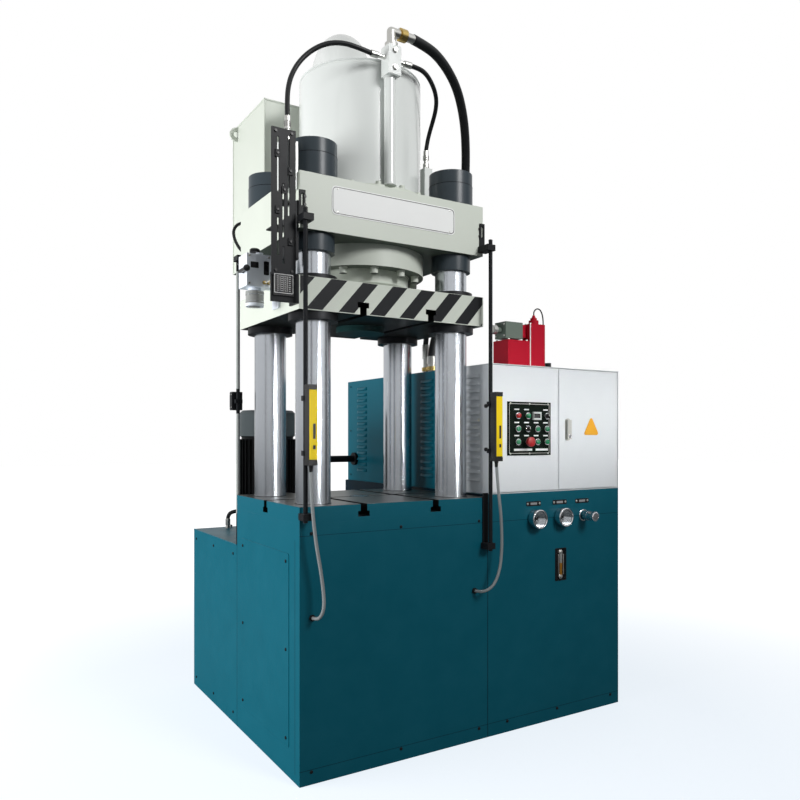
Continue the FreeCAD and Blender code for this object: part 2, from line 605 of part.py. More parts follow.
def bar_between(name, radius, start, end):
    """A round bar from one point to another."""
    run = FreeCAD.Vector(*end) - FreeCAD.Vector(*start)
    bar = rod(name, radius, run.Length, *start)
    bar.Placement.Rotation = FreeCAD.Rotation(FreeCAD.Vector(0, 0, 1), run)
    return bar


def make_hose_fittings():
    """Elbow, nuts and ferrules at the hoses' ends, each stack one solid."""
    elbow = fuse("main_elbow", [
        bar_between("elbow_riser", 17, (RISER_X, BLOCK_Y, BLOCK_TOP), MAIN_ELBOW),
        bar_between("elbow_nut", 25, (RISER_X, BLOCK_Y, BLOCK_TOP), (RISER_X, BLOCK_Y, BLOCK_TOP + 16)),
        elbow_ball("elbow_ball", 17, MAIN_ELBOW),
        bar_between("elbow_ferrule", 17, MAIN_ELBOW, MAIN_START),
        bar_between("elbow_hex", 24, (20, -277.5, 2775.6), (50, -272.5, 2778.4)),
    ])
    left_x = RISER_X - 28
    right_x = RISER_X + 28
    left = fuse("left_fitting", [
        bar_between("left_nipple", 8, (left_x, LEFT_START[1], LEFT_START[2]), LEFT_START),
        bar_between("left_ferrule", 12, (-80, LEFT_START[1], LEFT_START[2]), LEFT_START),
    ])
    small = fuse("small_fitting", [
        bar_between("small_nipple", 8, (right_x, SMALL_START[1], SMALL_START[2]), SMALL_START),
        bar_between("small_ferrule", 12, (38, SMALL_START[1], SMALL_START[2]), SMALL_START),
    ])
    stacks = [elbow, left, small]
    tall_left = size(f"{CROWN_TOP} + 104")
    tall_small = size(f"{CROWN_TOP} + 234")
    deck = size("cabinet_top")
    ends = (("left_foot", LEFT_PORT, tall_left, LEFT_END_Z, 9, 13),
            ("small_foot", SMALL_PORT, tall_small, SMALL_END_Z, 9, 13),
            ("main_foot", MAIN_END, deck, MAIN_END_Z, 18, 25),
            ("return_foot", RETURN_END, deck, RETURN_END_Z, 12, 18))
    for name, (x, y), low, high, thin, thick in ends:
        middle = (low + high) / 2
        stacks.append(fuse(name, [
            bar_between(name + "_nipple", thin, (x, y, low), (x, y, high)),
            bar_between(name + "_nut", thick, (x, y, low + 6), (x, y, low + 24)),
            bar_between(name + "_ferrule", thick - 2, (x, y, middle), (x, y, high)),
        ]))
    side = (size("crown_width / 2"), RETURN_TOP[1], RETURN_TOP[2])
    stacks.append(bar_between("return_head", 17, side, RETURN_TOP))
    keep(group("fitting_set", stacks), "hose_fittings")


def elbow_ball(name, radius, centre):
    ball = DOC.addObject("Part::Sphere", name)
    ball.setExpression("Radius", formula(radius))
    return place(ball, *centre)


def tangent_path(points):
    """Straight runs joined by arcs, each as large as its two runs allow."""
    spots = [FreeCAD.Vector(*point) for point in points]
    edges = []
    radii = []
    start = spots[0]
    for before, corner, after in zip(spots, spots[1:], spots[2:]):
        come = corner - before
        leave = after - corner
        turn = come.getAngle(leave)
        reach = 0.45 * min(come.Length, leave.Length)
        radii.append(reach / math.tan(turn / 2))
        arc_in = corner - FreeCAD.Vector(come).normalize() * reach
        arc_out = corner + FreeCAD.Vector(leave).normalize() * reach
        inward = (arc_in + arc_out) * 0.5 - corner
        half = radii[-1] / math.cos(turn / 2) - radii[-1]
        crown_point = corner + FreeCAD.Vector(inward).normalize() * half
        edges.append(Part.LineSegment(start, arc_in).toShape())
        edges.append(Part.Arc(arc_in, crown_point, arc_out).toShape())
        start = arc_out
    edges.append(Part.LineSegment(start, spots[-1]).toShape())
    return Part.Wire(edges), radii


def make_hose(label, radius, points):
    path, radii = tangent_path(points)
    heading = FreeCAD.Vector(*points[1]) - FreeCAD.Vector(*points[0])
    section = Part.Wire([Part.Circle(FreeCAD.Vector(*points[0]), heading, radius).toShape()])
    tube = path.makePipeShell([section], True, True)
    expected = math.pi * radius ** 2 * path.Length
    print(f"{label}: length {path.Length:.0f}, least radius {min(radii):.0f}, "
          f"volume share {tube.Volume / expected:.4f}")
    hose = DOC.addObject("Part::Feature", label + "_tube")
    hose.Shape = tube
    keep(hose, label)


def make_hoses():
    make_hose("main_hose", 19, MAIN_ROUTE)
    make_hose("left_hose", 9, LEFT_ROUTE)
    make_hose("small_hose", 9, SMALL_ROUTE)
    make_hose("return_hose", 12.5, RETURN_ROUTE)
    make_hose("curtain_cable_left", 6, LEFT_CABLE)
    make_hose("curtain_cable_right", 6, RIGHT_CABLE)


def louver_tools(name, middle_y):
    """One column of louver slots through the left wall of a box."""
    return [box(f"{name}_{i}", "sheet_thick + 4", "louver_width", "louver_tall",
                "cabinet_left - 2", f"{middle_y} - louver_width / 2",
                f"louver_bottom + {i} * louver_pitch")
            for i in range(DIMENSIONS["louver_count"])]


def make_cabinet_base():
    """Lower tank cabinet beside the base, with holes for the sight window and the knob."""
    outside = box("lower_outside", "cabinet_right - base_width / 2", "cabinet_depth",
                  "cabinet_waist", "base_width / 2", CABINET_FRONT, "0")
    hollow = box("lower_hollow", "cabinet_right - base_width / 2 - 2 * sheet_thick",
                 "cabinet_depth - 2 * sheet_thick", "cabinet_waist - 2 * sheet_thick",
                 "base_width / 2 + sheet_thick", f"{CABINET_FRONT} + sheet_thick", "sheet_thick")
    window = centred_box("sight_hole", "sight_width", "sheet_thick * 4", "sight_tall", "sight_x",
                         CABINET_FRONT, "sight_z - sight_tall / 2")
    knob = rod("knob_hole", "8 + run_gap", "sheet_thick * 4", "knob_x",
               f"{CABINET_FRONT} - sheet_thick", "gauge_z", "Y")
    keep(cut("lower_cabinet", outside, [hollow, window, knob]), "cabinet_base")
    face = f"({CABINET_FRONT} + sheet_thick)"
    pan = centred_box("sight_pan", "sight_width + 16", "30", "sight_tall + 16", "sight_x",
                      f"{face} + 15", "sight_z - sight_tall / 2 - 8")
    recess = centred_box("sight_recess", "sight_width", "54", "sight_tall", "sight_x",
                         face, "sight_z - sight_tall / 2")
    tube = centred_box("sight_tube", "22", "14", "sight_tall - 24", "sight_x", f"{face} + 20",
                       "sight_z - sight_tall / 2 + 12")
    keep(group("sight_set", [cut("sight_box", pan, [recess]), tube]), "sight_gauge")


def make_electric_cabinet():
    """Open-fronted sheet box; the two doors stand inside its front edges."""
    wide = "(cabinet_right - cabinet_left)"
    tall = "(cabinet_top - cabinet_waist)"
    outside = box("electric_outside", wide, "electric_depth", tall, "cabinet_left",
                  CABINET_FRONT, "cabinet_waist")
    hollow = box("electric_hollow", f"{wide} - 2 * sheet_thick", "electric_depth",
                 f"{tall} - 2 * sheet_thick", "cabinet_left + sheet_thick",
                 f"{CABINET_FRONT} - sheet_thick", "cabinet_waist + sheet_thick")
    tools = [hollow] + louver_tools("electric_louver", "-197")
    for side, x in (("left", DOOR_PIN_LEFT), ("right", DOOR_PIN_RIGHT)):
        tools.append(rod(f"pin_hole_{side}", "3 + run_gap", f"{tall} + 4", x, DOOR_PIN_Y,
                         "cabinet_waist - 2"))
    keep(cut("electric_box", outside, tools), "electric_cabinet")


def button_places():
    """Column and row of each control, counted from the panel's lower left."""
    return [(f"button_first_x + {column} * button_pitch", f"button_low_z + {row} * button_row")
            for row in range(3) for column in range(4)]


def make_door(side, left, pin_x, holes):
    """A folded door pan with its top and bottom pivot pins."""
    pan = box(f"door_pan_{side}", DOOR_WIDE, "door_thick", DOOR_TALL, left, DOOR_FACE, DOOR_LOW)
    hollow = box(f"door_hollow_{side}", f"{DOOR_WIDE} - 4", "door_thick", f"{DOOR_TALL} - 4",
                 f"{left} + 2", f"{DOOR_FACE} + 2", f"{DOOR_LOW} + 2")
    shell = cut(f"door_shell_{side}", pan, [hollow] + holes)
    reach = "(door_gap + sheet_thick)"
    pins = [rod(f"door_pin_low_{side}", "3", f"{reach} + 2", pin_x, DOOR_PIN_Y,
                f"{DOOR_LOW} - {reach}"),
            rod(f"door_pin_high_{side}", "3", f"{reach} + 2", pin_x, DOOR_PIN_Y,
                f"{DOOR_LOW} + {DOOR_TALL} - 2")]
    keep(fuse(f"door_{side}_whole", [shell] + pins), f"door_{side}")


def make_doors():
    left = "(cabinet_left + sheet_thick + door_gap)"
    holes = [rod(f"door_button_hole_{i}", "hole_rad", "4", x, f"{DOOR_FACE} - 1", z, "Y")
             for i, (x, z) in enumerate(button_places()) if i != METER_PLACE]
    make_door("left", left, DOOR_PIN_LEFT, holes)
    handle = [rod("door_handle_hole", "9 + run_gap", "4", HANDLE_X, f"{DOOR_FACE} - 1", HANDLE_Z, "Y")]
    make_door("right", f"({left} + {DOOR_WIDE} + door_gap)", DOOR_PIN_RIGHT, handle)
    shaft = rod("handle_shaft", "9", "24", HANDLE_X, f"{DOOR_FACE} - 6", HANDLE_Z, "Y")
    lever = centred_box("handle_lever", "22", "8", "84", HANDLE_X, f"{DOOR_FACE} - 10",
                        f"{HANDLE_Z} - 42")
    tongue = box("handle_tongue", "16", "3", "34", f"{HANDLE_X} - 8", f"{DOOR_FACE} + 15",
                 f"{HANDLE_Z} - 24")
    keep(fuse("handle_whole", [shaft, lever, tongue]), "door_handle")


def make_pump_enclosure():
    """Louvered sheet box behind the electric cabinet."""
    wide = "(cabinet_right - cabinet_left)"
    deep = "(cabinet_depth - electric_depth)"
    tall = "(cabinet_top - cabinet_waist)"
    outside = box("pump_outside", wide, deep, tall, "cabinet_left",
                  f"{CABINET_FRONT} + electric_depth", "cabinet_waist")
    hollow = box("pump_hollow", f"{wide} - 2 * sheet_thick", f"{deep} - 2 * sheet_thick",
                 f"{tall} - 2 * sheet_thick", "cabinet_left + sheet_thick",
                 f"{CABINET_FRONT} + electric_depth + sheet_thick", "cabinet_waist + sheet_thick")
    slots = louver_tools("pump_louver_front", "145") + louver_tools("pump_louver_rear", "768")
    keep(cut("pump_box", outside, [hollow] + slots), "pump_enclosure")


def make_control_gear():
    """Mounting plate on stand-offs, with the contactors, relays and terminals."""
    rear = f"({CABINET_FRONT} + electric_depth - sheet_thick)"
    plate = box("gear_plate", "650", "3", "430", "483", f"{rear} - 15", "1044")
    pieces = [plate]
    for x in (520, 1095):
        for z in (1070, 1448):
            pieces.append(rod(f"gear_stand_{x}_{z}", "6", "13", x, f"{rear} - 13", z, "Y"))
    blocks = ((520, 1330, 90, 110, 90), (640, 1330, 90, 110, 90), (760, 1330, 150, 120, 70),
              (940, 1320, 150, 120, 100), (520, 1180, 260, 70, 60), (820, 1180, 270, 90, 80),
              (520, 1080, 570, 50, 50))
    for i, (x, z, wide, tall, deep) in enumerate(blocks):
        pieces.append(box(f"gear_block_{i}", wide, f"{deep} + 1", tall, x, f"{rear} - 15 - {deep}", z))
    keep(fuse("gear_whole", pieces), "control_gear")


def make_control_panel():
    holes = [rod(f"panel_hole_{i}", "hole_rad", "panel_thick + 2", x,
                 f"{DOOR_FACE} - panel_thick - 1", z, "Y")
             for i, (x, z) in enumerate(button_places()) if i != METER_PLACE]
    plate = box("panel_plate", "panel_width", "panel_thick", "panel_tall", "panel_left",
                f"{DOOR_FACE} - panel_thick", "panel_bottom")
    keep(cut("panel", plate, holes), "control_panel")
    face = f"({DOOR_FACE} - panel_thick)"
    rings = [ring(f"button_ring_{i}", "14", "button_rad + run_gap", "12", x, f"{face} - 12", z, "Y")
             for i, (x, z) in enumerate(button_places()) if i != METER_PLACE]
    keep(group("ring_set", rings), "button_collars")
    lamps = []
    for i in LAMP_PLACES:
        x, z = button_places()[i]
        lamps.append(rod(f"lamp_{i}", "button_rad", "30", x, f"{face} - 17", z, "Y"))
    x, z = button_places()[METER_PLACE]
    lamps.append(centred_box("meter", "44", "10", "34", x, f"{face} - 5", f"{z} - 17"))
    keep(group("lamp_set", lamps), "panel_lamps")
    number = 1
    for i, (x, z) in enumerate(button_places()):
        if i in LAMP_PLACES or i == METER_PLACE:
            continue
        if i == ESTOP_PLACE:
            stem = rod("estop_stem", "button_rad", "39", x, f"{face} - 24", z, "Y")
            head = rod("estop_head", "estop_rad", "12", x, f"{face} - 34", z, "Y")
            keep(fuse("estop_whole", [stem, head]), "emergency_stop")
            continue
        stem = rod(f"stem_{i}", "button_rad", "30", x, f"{face} - 15", z, "Y")
        if i in SELECTOR_PLACES:
            grip = centred_box(f"grip_{i}", "5", "9", "19", x, f"{face} - 19", f"{z} - 9.5")
            keep(fuse(f"selector_{i}_whole", [stem, grip]), SELECTOR_PLACES[i])
        else:
            keep(stem, f"green_button_{number}")
            number += 1


def make_gauges():
    """Two panel gauges open at the front, their needles, and the pressure knob."""
    cases = []
    for side in ("left", "right"):
        x = f"gauge_{side}_x"
        profile = [("1.5 + run_gap", "0"), ("gauge_rad - 3", "0"), ("gauge_rad", "3"),
                   ("gauge_rad", "gauge_deep"), ("gauge_rad - 5", "gauge_deep"),
                   ("gauge_rad - 5", "6"), ("1.5 + run_gap", "6")]
        cases.append(turned(f"gauge_case_{side}", profile, x, CABINET_FRONT, "gauge_z", "-Y"))
    keep(group("gauge_set", cases), "gauge_cases")
    for side in ("left", "right"):
        x = f"gauge_{side}_x"
        pivot = rod(f"needle_pivot_{side}", "1.5", "12", x, CABINET_FRONT, "gauge_z", "-Y")
        hub = rod(f"needle_hub_{side}", "4", "3", x, f"{CABINET_FRONT} - 9", "gauge_z", "-Y")
        hand = box(f"needle_hand_{side}", "2.6", "1.2", "40", f"{x} - 33.3 * cos(45)",
                   f"{CABINET_FRONT} - 11.6", "gauge_z - 30.7 * cos(45)")
        hand.Placement.Rotation = FreeCAD.Rotation(FreeCAD.Vector(0, 1, 0), 45)
        keep(fuse(f"needle_{side}_whole", [pivot, hub, hand]), f"gauge_needle_{side}")
    profile = [("0", "0"), ("8", "0"), ("8", "10"), ("15", "10"), ("15", "22"),
               ("knob_rad", "24"), ("knob_rad", "knob_long + 20"), ("knob_rad - 4", "knob_long + 24"),
               ("0", "knob_long + 24")]
    keep(turned("knob_bar", profile, "knob_x", f"{CABINET_FRONT} + 9.7", "gauge_z", "-Y"),
         "pressure_knob")


def make_light_curtains():
    """Two rods before the crown and base, their clamps, and the two sensor bars."""
    rods = []
    clamps = []
    units = []
    for side, sign, foot in (("left", -1, "curtain_left_foot"), ("right", 1, "curtain_right_foot")):
        x = f"({sign} * curtain_rod_x)"
        rods.append(rod(f"curtain_rod_{side}", "curtain_rod_rad",
                        f"curtain_rod_top - {foot}", x, "curtain_rod_y", foot))
        hole = "curtain_rod_rad + fit_gap"
        for name, low, back in (("top", "(crown_bottom + 12)", CROWN_FRONT),
                                ("foot", f"({foot} + 8)", BASE_FRONT)):
            block = box(f"clamp_{name}_{side}", "40", f"{back} - curtain_rod_y + 14", "24",
                        f"{x} - 20 - {sign} * 6", "curtain_rod_y - 14", low)
            bore = rod(f"clamp_bore_{name}_{side}", hole, "26", x, "curtain_rod_y", f"{low} - 1")
            clamps.append(cut(f"clamp_{name}_{side}_bored", block, [bore]))
        tab = box(f"clamp_tab_{side}", "24", "6", "96", f"{x} - 12 - {sign} * 8",
                  f"{CROWN_FRONT} - 6", "crown_bottom + 36")
        slot = box(f"clamp_tab_slot_{side}", "9", "8", "44", f"{x} - 4.5 - {sign} * 8",
                   f"{CROWN_FRONT} - 7", "crown_bottom + 76")
        clamps.append(cut(f"clamp_tab_{side}_slotted", tab, [slot]))
        unit_front = "(curtain_rod_y - curtain_rod_rad - 2 - curtain_unit_deep)"
        units.append(box(f"curtain_bar_{side}", "curtain_unit_width", "curtain_unit_deep",
                         "curtain_unit_tall", f"{x} + 8 - curtain_unit_width / 2",
                         unit_front, "curtain_unit_foot"))
        units.append(rod(f"curtain_socket_{side}", "7", "10", f"{x} + 8", "-379",
                         "curtain_unit_foot - 10"))
        for at in (30, 220):
            saddle = box(f"saddle_{side}_{at}", "24", "20", "18", f"{x} - 12",
                         "curtain_rod_y - curtain_rod_rad - 2", f"curtain_unit_foot + {at}")
            bore = rod(f"saddle_bore_{side}_{at}", hole, "20", x, "curtain_rod_y",
                       f"curtain_unit_foot + {at} - 1")
            clamps.append(cut(f"saddle_{side}_{at}_bored", saddle, [bore]))
    clamps.append(ring("cable_entry_left", "11", "6.4", "8.5", -370, f"{BASE_FRONT} - 8.5", 588, "Y"))
    clamps.append(ring("cable_entry_right", "11", "6.4", "8.5", 348, f"{BASE_FRONT} - 8.5", 606, "Y"))
    strip = box("right_rail", "26", "6", "200", "curtain_rod_x - 19", f"{BASE_FRONT} - 6",
                "curtain_right_foot + 32")
    clamps.append(strip)
    keep(group("stand_set", rods + clamps), "curtain_stands")
    keep(group("unit_set", units), "light_curtains")


def make_motor():
    """Upright pump motor on the rear tank: bell housing, frame, fan cowl and fan."""
    long = "(motor_top - tank_height)"
    shaft = "(12 + run_gap)"
    profile = [("0", "0"), ("motor_rad", "0"), ("motor_rad", "24"), ("motor_rad - 40", "34"),
               ("motor_rad - 40", "120"), ("motor_rad - 8", "132"),
               ("motor_rad - 8", f"{long} - 125"), ("motor_rad", f"{long} - 120"),
               ("motor_rad", f"{long} - 12"), ("motor_rad - 12", long), ("60", long),
               ("60", f"{long} - 3"), ("motor_rad - 15", f"{long} - 3"),
               ("motor_rad - 6", f"{long} - 14"), ("motor_rad - 6", f"{long} - 118"),
               (shaft, f"{long} - 118"), (shaft, f"{long} - 170"), ("0", f"{long} - 170")]
    body = turned("motor_body", profile, "motor_x", "motor_y", "tank_height")
    junction = box("motor_junction", "110", "70", "90", "motor_x - 55",
                   "motor_y + motor_rad - 30", "tank_height + 300")
    side = cut("motor_junction_fitted", junction,
               [rod("motor_junction_seat", "motor_rad - 20", "100", "motor_x", "motor_y",
                    "tank_height + 295")])
    keep(fuse("motor_whole", [body, side]), "pump_motor")
    profile = [("0", "0"), ("12", "0"), ("12", "60"), ("24", "60"), ("24", "72"), ("100", "72"),
               ("100", "75"), ("24", "75"), ("24", "100"), ("0", "100")]
    fan = turned("fan_disc", profile, "motor_x", "motor_y", f"motor_top - 168")
    blades = []
    for i in range(6):
        turn = f"{i * 60}"
        blade = box(f"fan_blade_{i}", "74", "3", "22", f"motor_x + 18 * cos({turn}) + 1.5 * sin({turn})",
                    f"motor_y + 18 * sin({turn}) - 1.5 * cos({turn})", "motor_top - 95")
        blade.Placement.Rotation = FreeCAD.Rotation(FreeCAD.Vector(0, 0, 1), i * 60)
        blades.append(blade)
    keep(fuse("fan_whole", [fan] + blades), "motor_fan")


def make_cross_pipe():
    """Suction pipe that rises from the rear tank and crosses to the pump enclosure."""
    bend = 70
    foot_x = "cross_pipe_foot"
    rise = f"(cross_pipe_z - tank_height - {bend})"
    riser = rod("cross_riser", "cross_pipe_rad", rise, foot_x, "cross_pipe_y", "tank_height")
    elbow = DOC.addObject("Part::Torus", "cross_elbow")
    elbow.Radius1 = bend
    elbow.setExpression("Radius2", formula("cross_pipe_rad"))
    elbow.Angle3 = 90
    turn = FreeCAD.Rotation(FreeCAD.Vector(1, 0, 0), 90)
    spin = FreeCAD.Rotation(FreeCAD.Vector(0, 0, 1), 90)
    place(elbow, f"{foot_x} + {bend}", "cross_pipe_y", f"cross_pipe_z - {bend}", turn.multiply(spin))
    run = rod("cross_run", "cross_pipe_rad", f"cabinet_left - ({foot_x}) - {bend}",
              f"{foot_x} + {bend}", "cross_pipe_y", "cross_pipe_z", "X")
    flange = rod("cross_flange", "34", "14", "cabinet_left - 14", "cross_pipe_y", "cross_pipe_z", "X")
    foot = rod("cross_foot", "34", "14", foot_x, "cross_pipe_y", "tank_height")
    keep(fuse("cross_whole", [riser, elbow, run, flange, foot]), "cross_pipe")


def make_valves():
    """Red stack valves and the in-line valve on the cabinet's roof."""
    tall = box("valve_tall", "95", "55", "240", "915", "-22", "cabinet_top")
    dome = rod("valve_dome", "24", "20", "962", "6", "cabinet_top + 240")
    cap = rod("valve_dome_cap", "16", "12", "962", "6", "cabinet_top + 260")
    low = box("valve_low", "135", "110", "156", "779.5", "-22", "cabinet_top")
    red = fuse("valve_tall_whole", [tall, dome, cap])
    centre_z = "(cabinet_top + 204)"
    body = box("inline_body", "105", "80", "78", "779.5", "-4", f"{centre_z} - 39")
    seat = rod("inline_seat", "14", "27", "779.5", "36", centre_z, "-X")
    bore = rod("inline_bore", "8 + run_gap", "60", "780", "36", centre_z, "-X")
    plug = box("inline_plug", "30", "60", "60", "884.5", "6", f"{centre_z} - 30")
    link = box("inline_link", "70", "40", "34", "1010", "-10", "cabinet_top")
    rise = rod("inline_rise", "15", "60", "1060", "10", "cabinet_top")
    inline = cut("inline_bored", fuse("inline_whole", [body, seat, plug]), [bore])
    joint = fuse("inline_link_whole", [link, rise])
    keep(group("valve_set", [red, low, inline, joint]), "pressure_valves")
    profile = [("0", "0"), ("8", "0"), ("8", "24"), ("21", "24.5"), ("21", "46"), ("18", "49"), ("0", "49")]
    keep(turned("valve_knob_bar", profile, "776.5", "36", centre_z, "-X"), "valve_knob")


def make_lubricator():
    """Oil lubricator on a bracket at the platen's left face, with its priming lever."""
    left = "(-platen_width / 2)"
    body = box("lube_body", "92", "86", "118", f"{left} - 134", "-145", f"{PLATEN_BOTTOM} + 96")
    neck = rod("lube_neck", "24", "12", f"{left} - 88", "-102", f"{PLATEN_BOTTOM} + 84")
    bowl = rod("lube_bowl", "33", "56", f"{left} - 88", "-102", f"{PLATEN_BOTTOM} + 28")
    cap = rod("lube_cap", "14", "14", f"{left} - 70", "-102", f"{PLATEN_BOTTOM} + 214")
    shelf = box("lube_shelf", "42", "60", "8", f"{left} - 42", "-132", f"{PLATEN_BOTTOM} + 100")
    foot = box("lube_foot", "8", "60", "80", f"{left} - 8", "-132", f"{PLATEN_BOTTOM} + 28")
    bore = rod("lube_bore", "6 + run_gap", "30", f"{left} - 136", "-115", f"{PLATEN_BOTTOM} + 150", "X")
    whole = fuse("lube_whole", [body, neck, bowl, cap, shelf, foot])
    keep(cut("lube_bored", whole, [bore]), "lubricator")
    pivot = rod("lever_pivot", "6", "40", f"{left} - 152", "-115", f"{PLATEN_BOTTOM} + 150", "X")
    arm = box("lever_arm", "8", "70", "12", f"{left} - 152", "-179", f"{PLATEN_BOTTOM} + 144")
    ball = elbow_ball("lever_ball", 12, (f"{left} - 148", "-181", f"{PLATEN_BOTTOM} + 150"))
    keep(fuse("lever_whole", [pivot, arm, ball]), "lubricator_lever")


def make_switches():
    """Stroke switches on the crown's left face and on the rear rod."""
    left = "(-crown_width / 2)"
    plate = box("switch_plate", "6", "60", "210", f"{left} - 6", "-292", "crown_bottom - 112")
    case = box("switch_case", "40", "40", "72", f"{left} - 46", "-292", "crown_bottom - 108")
    roller = rod("switch_roller", "9", "8", f"{left} - 34", "-300", "crown_bottom - 80", "Y")
    shelf = box("switch_shelf", "64", "80", "5", f"{left} - 64", "-225", "crown_bottom + 16")
    web = box("switch_shelf_web", "5", "80", "40", f"{left} - 5", "-225", "crown_bottom + 21")
    knob = rod("switch_shelf_knob", "13", "22", f"{left} - 5", "-200", "crown_bottom + 110", "-X")
    stud = rod("switch_shelf_stud", "5", "6", left, "-200", "crown_bottom + 110", "-X")
    low_rod = rod("rear_switch_rod", "8", "crown_bottom + 30 - tank_height", "-407", "338",
                  "tank_height")
    arm = box("rear_rod_arm", "30", "50", "22", "-422", "crown_depth / 2", "crown_bottom + 8")
    stand = cut("rear_rod_arm_bored", arm, [rod("rear_rod_bore", "8.25", "30", "-407", "338",
                                                 "crown_bottom + 4")])
    box_low = box("rear_switch_case", "44", "34", "78", "-429", "345.5", "tank_height + 571")
    clip = cut("rear_switch_clip",
               box("rear_clip", "30", "30", "16", "-422", "323", "tank_height + 600"),
               [rod("rear_clip_bore", "8.25", "20", "-407", "338", "tank_height + 598"),
                box("rear_clip_relief", "60", "30", "20", "-440", "345.5", "tank_height + 598")])
    clip_fused = fuse("rear_switch_whole", [box_low, clip])
    fixed = cut("rear_switch_bored", clip_fused, [rod("rear_switch_relief", "8.25", "100", "-407",
                                                       "338", "tank_height + 560")])
    keep(group("switch_set", [fuse("switch_front", [plate, case, roller]),
                              fuse("switch_shelf_whole", [shelf, web]), fuse("shelf_knob", [knob, stud]),
                              low_rod, stand, fixed]), "stroke_switches")


def write_pieces():
    """Check every object and every sub-part, then write one STEP file for each."""
    DOC.recompute()
    for thing in DOC.Objects:
        faults = {"Invalid", "Error"} & set(thing.State)
        if faults:
            raise RuntimeError(f"{thing.Name}: {faults}")
    os.makedirs("parts", exist_ok=True)
    for piece in PIECES:
        if piece.Shape.isNull() or not piece.Shape.isValid():
            raise RuntimeError(f"{piece.Label} has no valid shape")
    for piece in PIECES:
        piece.Shape.exportStep(f"parts/{piece.Label}.step")
    print(f"{len(PIECES)} sub-parts written")


fill_sheet()
make_base()
make_table()
make_rear_tank()
make_columns()
make_column_nuts()
make_crown()
make_cylinder()
make_ram()
make_platen()
make_cam_plate()
make_ejector()
make_upper_tank()
make_prefill_pipe()
make_port_blocks()
make_hose_fittings()
make_hoses()
make_cabinet_base()
make_electric_cabinet()
make_doors()
make_pump_enclosure()
make_control_gear()
make_control_panel()
make_gauges()
make_light_curtains()
make_motor()
make_cross_pipe()
make_valves()
make_lubricator()
make_switches()
write_pieces()
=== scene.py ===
"""Looks of a four-column hydraulic press, laid out as a Blender add-on and run as a script."""
import math

import bmesh
import bpy
from bpy.props import BoolProperty, FloatProperty, FloatVectorProperty, IntProperty, PointerProperty
from mathutils import Matrix, Vector


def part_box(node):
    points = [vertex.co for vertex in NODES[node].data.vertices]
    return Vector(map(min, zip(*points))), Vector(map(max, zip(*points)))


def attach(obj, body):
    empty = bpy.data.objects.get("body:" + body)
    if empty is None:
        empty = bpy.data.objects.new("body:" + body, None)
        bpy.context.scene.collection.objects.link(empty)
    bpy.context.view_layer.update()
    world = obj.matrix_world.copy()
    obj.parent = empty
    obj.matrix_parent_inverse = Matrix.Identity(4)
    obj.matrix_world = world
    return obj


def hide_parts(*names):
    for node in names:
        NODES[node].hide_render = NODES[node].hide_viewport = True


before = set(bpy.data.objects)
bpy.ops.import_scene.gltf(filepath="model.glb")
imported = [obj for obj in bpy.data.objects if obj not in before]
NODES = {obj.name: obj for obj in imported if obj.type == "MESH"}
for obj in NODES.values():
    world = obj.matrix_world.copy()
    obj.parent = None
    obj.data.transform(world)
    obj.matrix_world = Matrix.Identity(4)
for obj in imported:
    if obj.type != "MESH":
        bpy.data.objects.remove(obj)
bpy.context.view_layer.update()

bl_info = {
    "name": "Hydraulic press",
    "version": (1, 0, 0),
    "blender": (4, 5, 0),
    "location": "3D View > Sidebar > Press",
    "description": "Finishes and fine parts of a four-column hydraulic press on its packed frame",
    "category": "Object",
}

BOX = {name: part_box(name) for name in NODES}


def colour_property(label, text, default):
    return FloatVectorProperty(name=label, description=text, subtype="COLOR", size=3,
                               min=0.0, max=1.0, default=default)


def length_property(label, text, default):
    return FloatProperty(name=label, description=text, subtype="DISTANCE", unit="LENGTH",
                         min=0.0, default=default)


class PressFinish(bpy.types.PropertyGroup):
    """Paint and plating colours."""
    teal: colour_property("Teal", "Enamel of the base, tanks and enclosure", (0.0025, 0.098, 0.142))
    pale: colour_property("Pale", "Enamel of the crown, platen and upper tank", (0.62, 0.66, 0.59))
    white: colour_property("Off-white", "Gloss enamel of the cylinder and bend", (0.72, 0.75, 0.73))
    cabinet: colour_property("Cabinet", "Powder coat of the electric cabinet", (0.76, 0.79, 0.81))
    slate: colour_property("Slate", "Finish of the column nuts", (0.035, 0.048, 0.058))
    black: colour_property("Black", "Blackened steel and black paint", (0.012, 0.013, 0.015))
    steel: colour_property("Steel", "Ground steel of the table", (0.15, 0.155, 0.150))
    chrome: colour_property("Chrome", "Hard chrome of the columns and ram", (0.57, 0.60, 0.64))
    zinc: colour_property("Zinc", "Plated fittings and screws", (0.60, 0.60, 0.57))
    brass: colour_property("Brass", "Brass nuts and outlets", (0.55, 0.40, 0.14))
    red: colour_property("Red", "Enamel of the valves", (0.47, 0.008, 0.026))
    yellow: colour_property("Yellow", "Finish of the light-curtain bars", (0.74, 0.55, 0.008))
    iron: colour_property("Motor", "Enamel of the motor", (0.055, 0.066, 0.070))
    rubber: colour_property("Hose", "Cover of the hydraulic hoses", (0.010, 0.011, 0.012))


class PressDetail(bpy.types.PropertyGroup):
    """Sizes of the fine parts that stand on the frame."""
    stripe_pitch: length_property("Stripe pitch", "Distance from stripe to stripe", 0.130)
    stripe_lean: FloatProperty(name="Stripe lean", description="Sideways run for each unit of height",
                               default=0.875)
    plate_thick: length_property("Plate thickness", "Thickness of name and label plates", 0.0015)
    louver_stand: length_property("Louver stand", "How far a louver hood stands out", 0.009)
    nut_groove: length_property("Nut groove", "Width of the grooves round the nuts", 0.004)
    fin_count: IntProperty(name="Motor fins", description="Cooling fins round the motor", default=36,
                           min=8, max=80)
    glass: BoolProperty(name="Gauge glass", description="Fit the clear windows", default=True)


def finish():
    return bpy.context.scene.press_finish


def detail():
    return bpy.context.scene.press_detail


